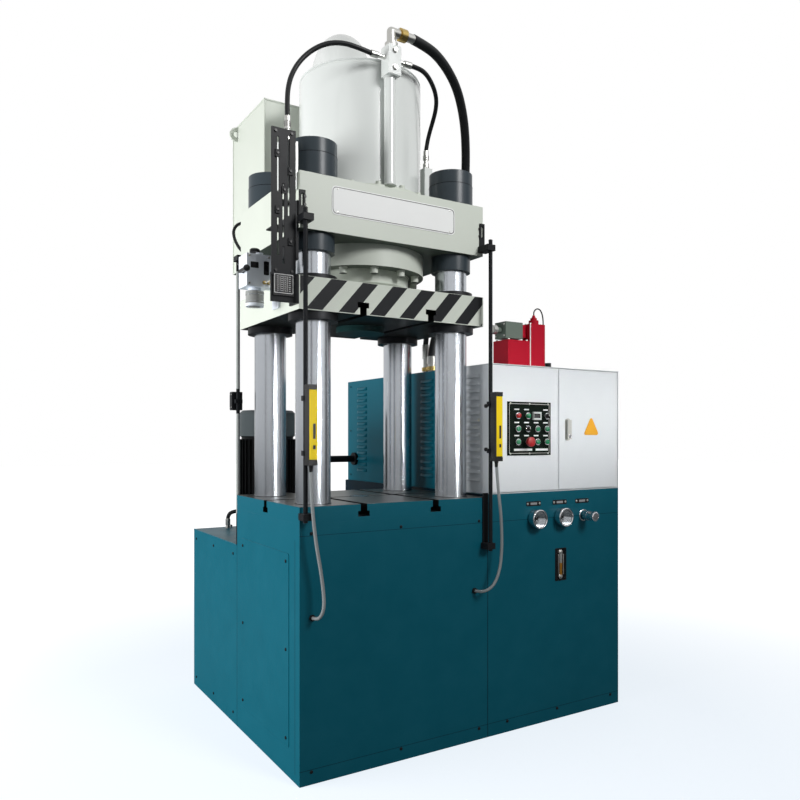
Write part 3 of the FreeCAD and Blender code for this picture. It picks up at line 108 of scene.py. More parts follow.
# ---------------------------------------------------------------- shader groups

def make_group(name, inputs, outputs):
    """An empty shader group with float, colour or vector sockets, given as (name, kind, default)."""
    kinds = {"float": "NodeSocketFloat", "colour": "NodeSocketColor", "vector": "NodeSocketVector"}
    group = bpy.data.node_groups.new(name, "ShaderNodeTree")
    for label, kind, default in inputs:
        socket = group.interface.new_socket(name=label, in_out="INPUT", socket_type=kinds[kind])
        if default is not None:
            socket.default_value = default
    for label, kind in outputs:
        group.interface.new_socket(name=label, in_out="OUTPUT", socket_type=kinds[kind])
    start = group.nodes.new("NodeGroupInput")
    end = group.nodes.new("NodeGroupOutput")
    return group, start, end


def add(tree, kind, **values):
    """A node, with its settings and unlinked input values; input names have _ for a blank."""
    node = tree.nodes.new(kind)
    for key, value in values.items():
        label = key.replace("_", " ")
        if label in node.inputs:
            node.inputs[label].default_value = value
        else:
            setattr(node, key, value)
    return node


def link(tree, source, target):
    tree.links.new(source, target)
    return target.node


def maths(tree, operation, first, second=None, clamp=False):
    """One Math node on sockets or numbers; gives its output socket."""
    node = tree.nodes.new("ShaderNodeMath")
    node.operation = operation
    node.use_clamp = clamp
    for index, value in enumerate((first, second)):
        if value is None:
            continue
        if isinstance(value, (int, float)):
            node.inputs[index].default_value = value
        else:
            tree.links.new(value, node.inputs[index])
    return node.outputs[0]


def noise(tree, vector, scale, detail_level=3.0, roughness=0.55):
    node = add(tree, "ShaderNodeTexNoise", Scale=scale, Detail=detail_level, Roughness=roughness)
    link(tree, vector, node.inputs["Vector"])
    return node.outputs["Fac"]


def blend_colour(tree, mask, first, second):
    """Colour mix by a mask; first and second are sockets or colours."""
    node = tree.nodes.new("ShaderNodeMix")
    node.data_type = "RGBA"
    if isinstance(mask, (int, float)):
        node.inputs["Factor"].default_value = mask
    else:
        link(tree, mask, node.inputs["Factor"])
    for socket, value in ((node.inputs[6], first), (node.inputs[7], second)):
        if hasattr(value, "is_output"):
            link(tree, value, socket)
        else:
            socket.default_value = (*value[:3], 1.0)
    return node.outputs[2]


def remap(tree, value, low, high, to_low, to_high):
    node = add(tree, "ShaderNodeMapRange")
    link(tree, value, node.inputs["Value"])
    for label, number in (("From Min", low), ("From Max", high), ("To Min", to_low), ("To Max", to_high)):
        node.inputs[label].default_value = number
    return node.outputs["Result"]


def build_enamel_group():
    """Brushed or sprayed enamel: slow mottling, settled dust and fine orange peel."""
    group, start, end = make_group(
        "enamel_surface",
        [("Colour", "colour", (0.5, 0.5, 0.5, 1.0)), ("Mottle", "float", 0.12),
         ("Dust", "float", 0.10), ("Peel Scale", "float", 260.0), ("Gloss", "float", 0.30)],
        [("Colour", "colour"), ("Roughness", "float"), ("Height", "float")])
    place = add(group, "ShaderNodeTexCoord").outputs["Object"]
    broad = noise(group, place, 2.3, 4.0)
    cloud = noise(group, place, 9.0, 5.0, 0.65)
    fine = add(group, "ShaderNodeTexNoise", Detail=2.0)
    link(group, place, fine.inputs["Vector"])
    link(group, start.outputs["Peel Scale"], fine.inputs["Scale"])
    swing = maths(group, "SUBTRACT", maths(group, "ADD", broad, cloud), 1.0)
    swing = maths(group, "MULTIPLY", swing, start.outputs["Mottle"])
    level = maths(group, "ADD", swing, 1.0)
    scaled = group.nodes.new("ShaderNodeVectorMath")
    scaled.operation = "SCALE"
    link(group, start.outputs["Colour"], scaled.inputs[0])
    link(group, level, scaled.inputs["Scale"])
    facing = add(group, "ShaderNodeSeparateXYZ")
    link(group, add(group, "ShaderNodeNewGeometry").outputs["Normal"], facing.inputs[0])
    upward = maths(group, "MAXIMUM", facing.outputs["Z"], 0.0)
    patchy = remap(group, cloud, 0.42, 0.70, 0.0, 1.0)
    settled = maths(group, "MULTIPLY", maths(group, "ADD", upward, 0.12), patchy)
    settled = maths(group, "MULTIPLY", settled, start.outputs["Dust"], clamp=True)
    dusty = blend_colour(group, settled, scaled.outputs["Vector"], (0.32, 0.31, 0.28))
    link(group, dusty, end.inputs["Colour"])
    rough = maths(group, "ADD", start.outputs["Gloss"], maths(group, "MULTIPLY", cloud, 0.10))
    rough = maths(group, "ADD", rough, maths(group, "MULTIPLY", settled, 0.5), clamp=True)
    link(group, rough, end.inputs["Roughness"])
    link(group, fine.outputs["Fac"], end.inputs["Height"])
    return group


def build_streak_group():
    """Grinding or turning lines: noise drawn out along one direction."""
    group, start, end = make_group(
        "drawn_streaks",
        [("Stretch", "vector", (4.0, 4.0, 400.0)), ("Colour", "colour", (0.6, 0.6, 0.6, 1.0)),
         ("Depth", "float", 0.10), ("Gloss", "float", 0.2)],
        [("Colour", "colour"), ("Roughness", "float"), ("Height", "float")])
    place = add(group, "ShaderNodeTexCoord").outputs["Object"]
    drawn = group.nodes.new("ShaderNodeVectorMath")
    drawn.operation = "MULTIPLY"
    link(group, place, drawn.inputs[0])
    link(group, start.outputs["Stretch"], drawn.inputs[1])
    lines = noise(group, drawn.outputs["Vector"], 1.0, 4.0, 0.6)
    stain = noise(group, place, 7.0, 4.0)
    swing = maths(group, "MULTIPLY", maths(group, "SUBTRACT", lines, 0.5), start.outputs["Depth"])
    swing = maths(group, "ADD", swing, maths(group, "MULTIPLY", maths(group, "SUBTRACT", stain, 0.5), 0.16))
    level = maths(group, "ADD", swing, 1.0)
    scaled = group.nodes.new("ShaderNodeVectorMath")
    scaled.operation = "SCALE"
    link(group, start.outputs["Colour"], scaled.inputs[0])
    link(group, level, scaled.inputs["Scale"])
    link(group, scaled.outputs["Vector"], end.inputs["Colour"])
    rough = maths(group, "ADD", start.outputs["Gloss"], maths(group, "MULTIPLY", lines, 0.10))
    rough = maths(group, "ADD", rough, maths(group, "MULTIPLY", stain, 0.06), clamp=True)
    link(group, rough, end.inputs["Roughness"])
    link(group, lines, end.inputs["Height"])
    return group


def build_band_group():
    """1 where a value lies between two limits, else 0."""
    group, start, end = make_group(
        "band_mask", [("Value", "float", 0.0), ("Low", "float", 0.0), ("High", "float", 1.0)],
        [("Mask", "float")])
    above = maths(group, "GREATER_THAN", start.outputs["Value"], start.outputs["Low"])
    below = maths(group, "LESS_THAN", start.outputs["Value"], start.outputs["High"])
    link(group, maths(group, "MULTIPLY", above, below), end.inputs["Mask"])
    return group


GROUPS = {}


def use_group(tree, key, **values):
    """A node for one of the shared groups, built the first time it is asked for."""
    builders = {"enamel": build_enamel_group, "streaks": build_streak_group, "band": build_band_group}
    if key not in GROUPS:
        GROUPS[key] = builders[key]()
    node = tree.nodes.new("ShaderNodeGroup")
    node.node_tree = GROUPS[key]
    for label, value in values.items():
        socket = node.inputs[label.replace("_", " ")]
        if hasattr(value, "is_output"):
            tree.links.new(value, socket)
        elif socket.type == "RGBA":
            socket.default_value = (*value[:3], 1.0)
        else:
            socket.default_value = value
    return node


def band(tree, value, low, high):
    return use_group(tree, "band", Value=value, Low=low, High=high).outputs["Mask"]


# ------------------------------------------------------------------- materials

MATERIALS = {}


def start_material(name):
    """A fresh material: returns it with its tree and its Principled shader."""
    material = bpy.data.materials.new(name)
    material.use_nodes = True
    tree = material.node_tree
    shader = tree.nodes["Principled BSDF"]
    MATERIALS[name] = material
    return material, tree, shader


def position(tree):
    """X, Y and Z of a point in the press's own frame."""
    split = add(tree, "ShaderNodeSeparateXYZ")
    link(tree, add(tree, "ShaderNodeTexCoord").outputs["Object"], split.inputs[0])
    return split.outputs["X"], split.outputs["Y"], split.outputs["Z"]


def facing(tree):
    split = add(tree, "ShaderNodeSeparateXYZ")
    link(tree, add(tree, "ShaderNodeNewGeometry").outputs["Normal"], split.inputs[0])
    return split.outputs["X"], split.outputs["Y"], split.outputs["Z"]


def bump(tree, shader, height, strength, distance, round_edges=0.0):
    """Bump from a height; with round_edges the sharp corners catch the light as well."""
    node = add(tree, "ShaderNodeBump", Strength=strength, Distance=distance)
    link(tree, height, node.inputs["Height"])
    if round_edges:
        bevel = add(tree, "ShaderNodeBevel", Radius=round_edges)
        bevel.samples = 4
        link(tree, bevel.outputs["Normal"], node.inputs["Normal"])
    link(tree, node.outputs["Normal"], shader.inputs["Normal"])


def enamel(name, colour, gloss=0.30, mottle=0.10, dust=0.08, peel=260.0, coat=0.0, edges=0.0015,
           recolour=None, shine=0.5):
    """Sprayed enamel. recolour(tree, colour socket) may paint regions over it."""
    material, tree, shader = start_material(name)
    group = use_group(tree, "enamel", Colour=colour, Mottle=mottle, Dust=dust, Peel_Scale=peel,
                      Gloss=gloss)
    painted = group.outputs["Colour"]
    if recolour:
        painted = recolour(tree, painted)
    link(tree, painted, shader.inputs["Base Color"])
    link(tree, group.outputs["Roughness"], shader.inputs["Roughness"])
    shader.inputs["Coat Weight"].default_value = coat
    shader.inputs["Coat Roughness"].default_value = 0.12
    shader.inputs["Specular IOR Level"].default_value = shine
    bump(tree, shader, group.outputs["Height"], 0.06, 0.0004, edges)
    return material


def drawn_metal(name, colour, stretch, gloss=0.18, depth=0.12, strength=0.12, edges=0.001):
    """Ground, turned or rolled metal with lines across the stretch's long axis."""
    material, tree, shader = start_material(name)
    group = use_group(tree, "streaks", Stretch=stretch, Colour=colour, Depth=depth, Gloss=gloss)
    link(tree, group.outputs["Colour"], shader.inputs["Base Color"])
    link(tree, group.outputs["Roughness"], shader.inputs["Roughness"])
    shader.inputs["Metallic"].default_value = 1.0
    bump(tree, shader, group.outputs["Height"], strength, 0.0002, edges)
    return material


def moulded(name, colour, gloss=0.35, grain=900.0, coat=0.0, shine=0.5):
    """Moulded plastic or rubber with a fine grain."""
    material, tree, shader = start_material(name)
    group = use_group(tree, "enamel", Colour=colour, Mottle=0.08, Dust=0.05, Peel_Scale=grain,
                      Gloss=gloss)
    link(tree, group.outputs["Colour"], shader.inputs["Base Color"])
    link(tree, group.outputs["Roughness"], shader.inputs["Roughness"])
    shader.inputs["Coat Weight"].default_value = coat
    shader.inputs["Specular IOR Level"].default_value = shine
    bump(tree, shader, group.outputs["Height"], 0.10, 0.0003)
    return material


def teal_seams(tree, colour):
    """Dark joints between the base, its tanks and the cabinet, and a door line at the left."""
    x, y, z = position(tree)
    joint = detail().plate_thick
    base_right = BOX["base_frame"][1][0]
    base_back = BOX["base_frame"][1][1]
    lines = [band(tree, x, base_right - joint, base_right + joint),
             band(tree, y, base_back - joint, base_back + joint)]
    door = maths(tree, "MULTIPLY", band(tree, y, -0.283, -0.2805), band(tree, z, 0.03, 0.86))
    left = maths(tree, "MULTIPLY", door, maths(tree, "LESS_THAN", x, -0.41))
    lines.append(left)
    for level in (0.052, 0.876):
        lines.append(maths(tree, "MULTIPLY", band(tree, z, level, level + 0.0016),
                           maths(tree, "LESS_THAN", y, BOX["base_frame"][0][1] + 0.004)))
    total = lines[0]
    for line in lines[1:]:
        total = maths(tree, "MAXIMUM", total, line)
    return blend_colour(tree, total, colour, (0.001, 0.012, 0.022))


def hazard_stripes(tree, colour):
    """Leaning black stripes on the platen's front, painted shade on its underside, and painted shade inside
    its slots.
    """
    x, y, z = position(tree)
    low, high = BOX["platen"]
    pitch = detail().stripe_pitch
    lean = maths(tree, "MULTIPLY", maths(tree, "SUBTRACT", high[2], z), detail().stripe_lean)
    along = maths(tree, "ADD", maths(tree, "SUBTRACT", x, -0.282 - 8 * pitch), lean)
    share = maths(tree, "FRACT", maths(tree, "DIVIDE", along, pitch))
    stripe = maths(tree, "LESS_THAN", share, 0.5)
    front = maths(tree, "LESS_THAN", y, low[1] + 0.0006)
    wide = band(tree, x, low[0] + 0.004, high[0] - 0.004)
    deep = band(tree, z, low[2] + 0.003, high[2] - 0.001)
    mask = maths(tree, "MULTIPLY", maths(tree, "MULTIPLY", stripe, front),
                 maths(tree, "MULTIPLY", wide, deep))
    striped = blend_colour(tree, mask, colour, finish().black)
    # Painted shade: the platen's downward faces are darkened.
    below = maths(tree, "LESS_THAN", facing(tree)[2], -0.5)
    under_shaded = blend_colour(tree, below, striped, (0.012, 0.014, 0.013))
    # Painted shade: the insides of the slots under the platen are darkened.
    off_slot = maths(tree, "ABSOLUTE", maths(tree, "SUBTRACT", maths(tree, "ABSOLUTE", x), 0.151))
    slot = maths(tree, "MULTIPLY", maths(tree, "LESS_THAN", off_slot, 0.0245),
                 maths(tree, "LESS_THAN", z, low[2] + 0.0465))
    slot = maths(tree, "MULTIPLY", slot, band(tree, y, low[1] + 0.0008, high[1] - 0.0008))
    return blend_colour(tree, slot, under_shaded, (0.008, 0.009, 0.009))


def table_regions(tree, colour):
    """Teal edges round the bare steel top, and painted shade on the walls inside the slots."""
    x, y, z = position(tree)
    low, high = BOX["work_table"]
    inside = maths(tree, "MULTIPLY", band(tree, x, low[0] + 0.001, high[0] - 0.001),
                   band(tree, y, low[1] + 0.001, high[1] - 0.001))
    below = maths(tree, "LESS_THAN", z, high[2] - 0.001)
    slots = maths(tree, "MULTIPLY", inside, below)
    # Painted shade: the slot walls below the top are darkened.
    slot_shaded = blend_colour(tree, maths(tree, "MULTIPLY", slots, 0.8), colour, (0.010, 0.011, 0.011))
    edge = maths(tree, "MULTIPLY", maths(tree, "SUBTRACT", 1.0, inside), below)
    return blend_colour(tree, edge, slot_shaded, finish().teal), edge


def make_table_finish():
    """Milled steel on top, sprayed teal round the edge."""
    _, tree, shader = start_material("table_steel")
    group = use_group(tree, "streaks", Stretch=(6.0, 300.0, 300.0), Colour=finish().steel, Depth=0.5,
                      Gloss=0.30)
    colour, edge = table_regions(tree, group.outputs["Colour"])
    link(tree, colour, shader.inputs["Base Color"])
    link(tree, group.outputs["Roughness"], shader.inputs["Roughness"])
    link(tree, maths(tree, "SUBTRACT", 1.0, edge), shader.inputs["Metallic"])
    shader.inputs["Specular IOR Level"].default_value = 0.14
    bump(tree, shader, group.outputs["Height"], 0.15, 0.0002, 0.001)


def painted_under_shade(tree, colour):
    """Painted shade on the crown's downward faces below 2.3 m; the round bars of the upper tank keep their
    paint.
    """
    below = maths(tree, "LESS_THAN", facing(tree)[2], -0.95)
    low_down = maths(tree, "LESS_THAN", position(tree)[2], 2.3)
    # Painted shade: downward faces below 2.3 m take this darker tint.
    return blend_colour(tree, maths(tree, "MULTIPLY", below, low_down), colour, (0.10, 0.12, 0.10))


def valve_regions(tree, colour):
    """Grey-green in-line body, black coil underside and the pale connector beside the red valves."""
    x, _, z = position(tree)
    body = maths(tree, "MULTIPLY", band(tree, x, 0.70, 0.8846), band(tree, z, 1.6925, 1.79))
    link_part = maths(tree, "GREATER_THAN", x, 1.0095)
    green = blend_colour(tree, body, colour, (0.16, 0.20, 0.17))
    beige = blend_colour(tree, link_part, green, (0.46, 0.40, 0.27))
    cap = maths(tree, "MULTIPLY", link_part, maths(tree, "GREATER_THAN", z, 1.5625))
    return blend_colour(tree, cap, beige, (0.015, 0.015, 0.016))


def sensor_regions(tree, colour):
    """Black end caps and foot sockets on the yellow light-curtain bars, and their dark window."""
    z = position(tree)[2]
    low, high = BOX["light_curtains"]
    caps = maths(tree, "MAXIMUM", maths(tree, "GREATER_THAN", z, high[2] - 0.016),
                 maths(tree, "LESS_THAN", z, low[2] + 0.028))
    return blend_colour(tree, caps, colour, (0.013, 0.013, 0.014))


def stand_regions(tree, colour):
    """The rear stroke rod is plain steel; all else that shares its black paint stays black."""
    x, y, z = position(tree)
    rod = maths(tree, "MULTIPLY", band(tree, x, -0.4152, -0.3988), band(tree, y, 0.3298, 0.3462))
    bare = maths(tree, "MULTIPLY", rod, band(tree, z, 0.90, 1.325))
    upper = maths(tree, "MULTIPLY", rod, band(tree, z, 1.43, 1.93))
    return blend_colour(tree, maths(tree, "MAXIMUM", bare, upper), colour, (0.36, 0.38, 0.37))


def motor_regions(tree, colour):
    """Black body and bell housing under the grey cowl."""
    z = position(tree)[2]
    body = maths(tree, "LESS_THAN", z, BOX["pump_motor"][1][2] - 0.122)
    return blend_colour(tree, body, colour, (0.004, 0.0045, 0.005))


def lamp_regions(tree, colour):
    """Red lamp, green lamp and the meter's pale case with its dark window share one piece."""
    x, _, z = position(tree)
    first = maths(tree, "LESS_THAN", x, 0.595)
    meter = maths(tree, "GREATER_THAN", x, 0.645)
    red = blend_colour(tree, first, colour, (0.42, 0.010, 0.012))
    case = blend_colour(tree, meter, red, (0.55, 0.58, 0.56))
    high = BOX["panel_lamps"][1]
    window = maths(tree, "MULTIPLY", band(tree, x, high[0] - 0.042, high[0] - 0.006),
                   band(tree, z, high[2] - 0.026, high[2] - 0.007))
    return blend_colour(tree, maths(tree, "MULTIPLY", window, meter), case, (0.016, 0.018, 0.018))


def make_hose_fitting_finish():
    """Plated steel with brass nuts on the main elbow and at the enclosure."""
    _, tree, shader = start_material("fitting_metal")
    group = use_group(tree, "streaks", Stretch=(300.0, 300.0, 300.0), Colour=finish().zinc, Depth=0.10,
                      Gloss=0.22)
    x, _, z = position(tree)
    hex_nut = maths(tree, "MULTIPLY", band(tree, x, 0.019, 0.052), maths(tree, "GREATER_THAN", z, 2.72))
    foot_nut = maths(tree, "MULTIPLY", maths(tree, "GREATER_THAN", x, 0.43), band(tree, z, 1.533, 1.5535))
    brass = maths(tree, "MAXIMUM", hex_nut, foot_nut)
    colour = blend_colour(tree, brass, group.outputs["Colour"], finish().brass)
    link(tree, colour, shader.inputs["Base Color"])
    link(tree, group.outputs["Roughness"], shader.inputs["Roughness"])
    shader.inputs["Metallic"].default_value = 1.0
    bump(tree, shader, group.outputs["Height"], 0.08, 0.0002, 0.001)


def make_bush_finish():
    """Black flanges and wipers; the bronze shows only at the bore."""
    _, tree, shader = start_material("bush_metal")
    group = use_group(tree, "streaks", Stretch=(60.0, 60.0, 500.0), Colour=finish().black, Depth=0.3,
                      Gloss=0.34)
    link(tree, group.outputs["Colour"], shader.inputs["Base Color"])
    link(tree, group.outputs["Roughness"], shader.inputs["Roughness"])
    shader.inputs["Metallic"].default_value = 0.6
    bump(tree, shader, group.outputs["Height"], 0.10, 0.0003, 0.0015)


def make_glass():
    _, tree, shader = start_material("clear_glass")
    shader.inputs["Base Color"].default_value = (0.95, 0.97, 0.97, 1.0)
    shader.inputs["Transmission Weight"].default_value = 1.0
    shader.inputs["IOR"].default_value = 1.45
    film = noise(tree, add(tree, "ShaderNodeTexCoord").outputs["Object"], 40.0)
    link(tree, remap(tree, film, 0.3, 0.8, 0.01, 0.07), shader.inputs["Roughness"])


def make_sight_liquid():
    _, tree, shader = start_material("sight_oil")
    z = position(tree)[2]
    level = maths(tree, "GREATER_THAN", z, 0.676)
    oil = blend_colour(tree, level, (0.30, 0.13, 0.012), (0.30, 0.31, 0.30))
    link(tree, oil, shader.inputs["Base Color"])
    film = noise(tree, add(tree, "ShaderNodeTexCoord").outputs["Object"], 90.0)
    link(tree, remap(tree, film, 0.3, 0.8, 0.06, 0.16), shader.inputs["Roughness"])


def make_dial_face():
    """White dial with fine marks laid out by angle round each gauge's axis."""
    _, tree, shader = start_material("dial_white")
    x, _, z = position(tree)
    centres = gauge_centres()
    middle = (centres[0][0] + centres[1][0]) / 2
    right = maths(tree, "GREATER_THAN", x, middle)
    shift = maths(tree, "ADD", maths(tree, "MULTIPLY", right, centres[1][0] - centres[0][0]), centres[0][0])
    across = maths(tree, "SUBTRACT", x, shift)
    up = maths(tree, "SUBTRACT", z, centres[0][2])
    away = maths(tree, "SQRT", maths(tree, "ADD", maths(tree, "MULTIPLY", across, across),
                                     maths(tree, "MULTIPLY", up, up)))
    angle = maths(tree, "ARCTAN2", across, up)
    live = maths(tree, "LESS_THAN", maths(tree, "ABSOLUTE", angle), math.radians(136))
    marks = None
    for count, inner, wide in ((10, 0.0245, 0.045), (50, 0.0275, 0.10)):
        step = math.radians(270) / count
        turn = maths(tree, "FRACT", maths(tree, "ADD", maths(tree, "DIVIDE", angle, step), 100.5))
        near = maths(tree, "LESS_THAN", maths(tree, "ABSOLUTE", maths(tree, "SUBTRACT", turn, 0.5)), wide)
        ring = maths(tree, "MULTIPLY", near, band(tree, away, inner, 0.0315))
        marks = ring if marks is None else maths(tree, "MAXIMUM", marks, ring)
    arc = band(tree, away, 0.0315, 0.0321)
    inked = maths(tree, "MULTIPLY", maths(tree, "MAXIMUM", marks, arc), live)
    link(tree, blend_colour(tree, inked, (0.78, 0.78, 0.75), (0.01, 0.01, 0.01)), shader.inputs["Base Color"])
    paper = noise(tree, add(tree, "ShaderNodeTexCoord").outputs["Object"], 300.0)
    link(tree, remap(tree, paper, 0.3, 0.7, 0.45, 0.55), shader.inputs["Roughness"])


def gauge_centres():
    """Centres of the two gauges' front rims, left one first."""
    low, high = BOX["gauge_cases"]
    radius = (high[2] - low[2]) / 2
    level = (low[2] + high[2]) / 2
    return [(low[0] + radius, low[1], level), (high[0] - radius, low[1], level)]


def make_materials():
    paint = finish()
    enamel("teal_enamel", paint.teal, 0.34, 0.16, 0.05, 210.0, 0.0, recolour=teal_seams, shine=0.14)
    enamel("pale_enamel", paint.pale, 0.34, 0.07, 0.06, 240.0, 0.0, recolour=painted_under_shade, shine=0.30)
    enamel("platen_enamel", paint.pale, 0.36, 0.08, 0.06, 240.0, 0.0, recolour=hazard_stripes, shine=0.12)
    enamel("white_enamel", paint.white, 0.17, 0.05, 0.04, 180.0, 0.55)
    enamel("cabinet_enamel", paint.cabinet, 0.40, 0.05, 0.05, 700.0, 0.0, shine=0.30)
    enamel("red_enamel", paint.red, 0.30, 0.12, 0.02, 240.0, 0.0, recolour=valve_regions, shine=0.12)
    enamel("motor_enamel", paint.iron, 0.42, 0.16, 0.02, 160.0, 0.0, recolour=motor_regions, shine=0.12)
    enamel("black_enamel", paint.black, 0.34, 0.20, 0.02, 260.0, 0.0, recolour=stand_regions,
           shine=0.10)
    enamel("slate_enamel", paint.slate, 0.26, 0.18, 0.04, 220.0, 0.0, shine=0.28)
    enamel("sensor_yellow", paint.yellow, 0.30, 0.06, 0.02, 500.0, 0.0, recolour=sensor_regions, shine=0.12)
    drawn_metal("column_chrome", paint.chrome, (60.0, 60.0, 2.0), 0.17, 0.05, 0.012, 0.0)
    drawn_metal("ground_steel", paint.steel, (5.0, 260.0, 260.0), 0.34, 0.55, 0.25)
    drawn_metal("bright_chrome", (0.72, 0.73, 0.75), (200.0, 200.0, 200.0), 0.09, 0.04, 0.02)
    drawn_metal("plated_zinc", paint.zinc, (220.0, 220.0, 220.0), 0.26, 0.14, 0.08)
    drawn_metal("brass", paint.brass, (260.0, 260.0, 260.0), 0.24, 0.16, 0.08)
    moulded("hose_rubber", paint.rubber, 0.38, 700.0, shine=0.25)
    moulded("cable_grey", (0.22, 0.235, 0.24), 0.45, 600.0)
    moulded("panel_black", (0.007, 0.012, 0.009), 0.42, 500.0, shine=0.02)
    moulded("knob_black", (0.008, 0.008, 0.009), 0.28, 900.0, shine=0.25)
    moulded("button_green", (0.005, 0.20, 0.075), 0.22, 900.0, 0.5)
    moulded("stop_red", (0.40, 0.010, 0.012), 0.22, 900.0, 0.5)
    moulded("label_white", (0.86, 0.87, 0.86), 0.35, 500.0, 0.0, shine=0.2)
    moulded("mark_yellow", (0.86, 0.42, 0.030), 0.35, 500.0, shine=0.2)
    moulded("tube_white", (0.60, 0.60, 0.56), 0.30, 600.0, 0.2)
    enamel("lamp_cover", (0.005, 0.22, 0.07), 0.18, 0.05, 0.02, 900.0, 0.6, recolour=lamp_regions)
    enamel("gear_grey", (0.30, 0.31, 0.32), 0.45, 0.10, 0.05, 600.0)
    enamel("lube_grey", (0.78, 0.83, 0.90), 0.32, 0.08, 0.03, 300.0, 0.1)
    enamel("disc_enamel", (0.010, 0.034, 0.034), 0.36, 0.12, 0.02, 240.0, 0.0, shine=0.15)
    make_table_finish()
    make_hose_fitting_finish()
    make_bush_finish()
    make_glass()
    make_sight_liquid()
    make_dial_face()


NODE_FINISH = {
    "teal_enamel": ["base_frame", "rear_tank", "cabinet_base", "pump_enclosure"],
    "disc_enamel": ["platen_disc"],
    "pale_enamel": ["crown", "cylinder_rings", "upper_tank", "cylinder_bolts"],
    "platen_enamel": ["platen"],
    "white_enamel": ["main_cylinder", "prefill_pipe", "port_blocks"],
    "cabinet_enamel": ["electric_cabinet", "door_left", "door_right"],
    "red_enamel": ["pressure_valves"],
    "motor_enamel": ["pump_motor"],
    "black_enamel": ["curtain_stands", "stroke_switches", "cam_plate", "cross_pipe", "motor_fan"],
    "slate_enamel": ["column_nuts"],
    "sensor_yellow": ["light_curtains"],
    "column_chrome": ["columns", "ram", "ejector_rod"],
    "table_steel": ["work_table"],
    "ground_steel": ["ejector_cylinder"],
    "bright_chrome": ["gauge_cases", "button_collars", "pressure_knob"],
    "plated_zinc": ["sight_gauge", "door_handle", "valve_knob"],
    "fitting_metal": ["hose_fittings"],
    "bush_metal": ["guide_bushes"],
    "hose_rubber": ["main_hose", "left_hose", "small_hose", "return_hose"],
    "cable_grey": ["curtain_cable_left", "curtain_cable_right"],
    "panel_black": ["control_panel"],
    "knob_black": ["mode_selector", "power_selector", "gauge_needle_left", "gauge_needle_right",
                   "lubricator_lever"],
    "button_green": [f"green_button_{number}" for number in range(1, 7)],
    "stop_red": ["emergency_stop"],
    "lamp_cover": ["panel_lamps"],
    "gear_grey": ["control_gear"],
    "lube_grey": ["lubricator"],
}


def dress_nodes():
    """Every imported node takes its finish; its mesh stays as it is."""
    for name, members in NODE_FINISH.items():
        for node in members:
            data = NODES[node].data
            data.materials.clear()
            data.materials.append(MATERIALS[name])


# ------------------------------------------------------------------ mesh tools

def paint_faces(verts, finish_index):
    for face in {face for vert in verts for face in vert.link_faces}:
        face.material_index = finish_index


def block(bm, low, high, finish_index=0):
    """A rectangular bar between two corners."""
    low, high = Vector(low), Vector(high)
    made = bmesh.ops.create_cube(bm, size=1.0)["verts"]
    for vert in made:
        vert.co = Vector([c * s for c, s in zip(vert.co, high - low)]) + (low + high) / 2
    paint_faces(made, finish_index)
    return made


def bar(bm, start, end, radius, finish_index=0, sides=24):
    """A round or many-sided bar between two points."""
    start, end = Vector(start), Vector(end)
    along = end - start
    turn = along.to_track_quat("Z", "Y").to_matrix().to_4x4()
    made = bmesh.ops.create_cone(bm, cap_ends=True, segments=sides, radius1=radius,
                                 radius2=radius,
                                 depth=along.length,
                                 matrix=Matrix.Translation((start + end) / 2) @ turn)["verts"]
    paint_faces(made, finish_index)
    return made


def lathe(bm, foot, heading, profile, finish_index=0, sides=40):
    """A turned form: profile is (distance along the heading, radius) from one end to the other."""
    turn = Vector(heading).to_track_quat("Z", "Y").to_matrix()
    rings = []
    for along, radius in profile:
        ring = []
        for step in range(sides):
            angle = 2 * math.pi * step / sides
            spot = Vector((radius * math.cos(angle), radius * math.sin(angle), along))
            ring.append(bm.verts.new(turn @ spot + Vector(foot)))
        rings.append(ring)
    for lower, upper in zip(rings, rings[1:]):
        for step in range(sides):
            after = (step + 1) % sides
            face = bm.faces.new((lower[step], lower[after], upper[after], upper[step]))
            face.material_index = finish_index
    for ring in (rings[0][::-1], rings[-1]):
        bm.faces.new(ring).material_index = finish_index
    return [vert for ring in rings for vert in ring]


def hoop(bm, centre, heading, radius, thickness, finish_index=0, turns=48, sides=8):
    """A closed round hoop, as for a weld bead or a rolled edge."""
    turn = Vector(heading).to_track_quat("Z", "Y").to_matrix()
    grid = []
    for step in range(turns):
        angle = 2 * math.pi * step / turns
        ring = []
        for side in range(sides):
            around = 2 * math.pi * side / sides
            reach = radius + thickness * math.cos(around)
            spot = Vector((reach * math.cos(angle), reach * math.sin(angle), thickness * math.sin(around)))
            ring.append(bm.verts.new(turn @ spot + Vector(centre)))
        grid.append(ring)
    for step in range(turns):
        here, there = grid[step], grid[(step + 1) % turns]
        for side in range(sides):
            after = (side + 1) % sides
            bm.faces.new((here[side], there[side], there[after], here[after])).material_index = finish_index


RUN_STEPS = 8


def smooth_points(points):
    """Points on a Catmull-Rom curve through the given ones, for rigid bent pipes."""
    spots = [Vector(point) for point in points]
    spots = [2 * spots[0] - spots[1], *spots, 2 * spots[-1] - spots[-2]]
    path = []
    for a, b, c, d in zip(spots, spots[1:], spots[2:], spots[3:]):
        for step in range(RUN_STEPS):
            t = step / RUN_STEPS
            path.append(0.5 * (2 * b + (c - a) * t + (2 * a - 5 * b + 4 * c - d) * t * t
                               + (3 * b - a - 3 * c + d) * t ** 3))
    return path + [spots[-2]]


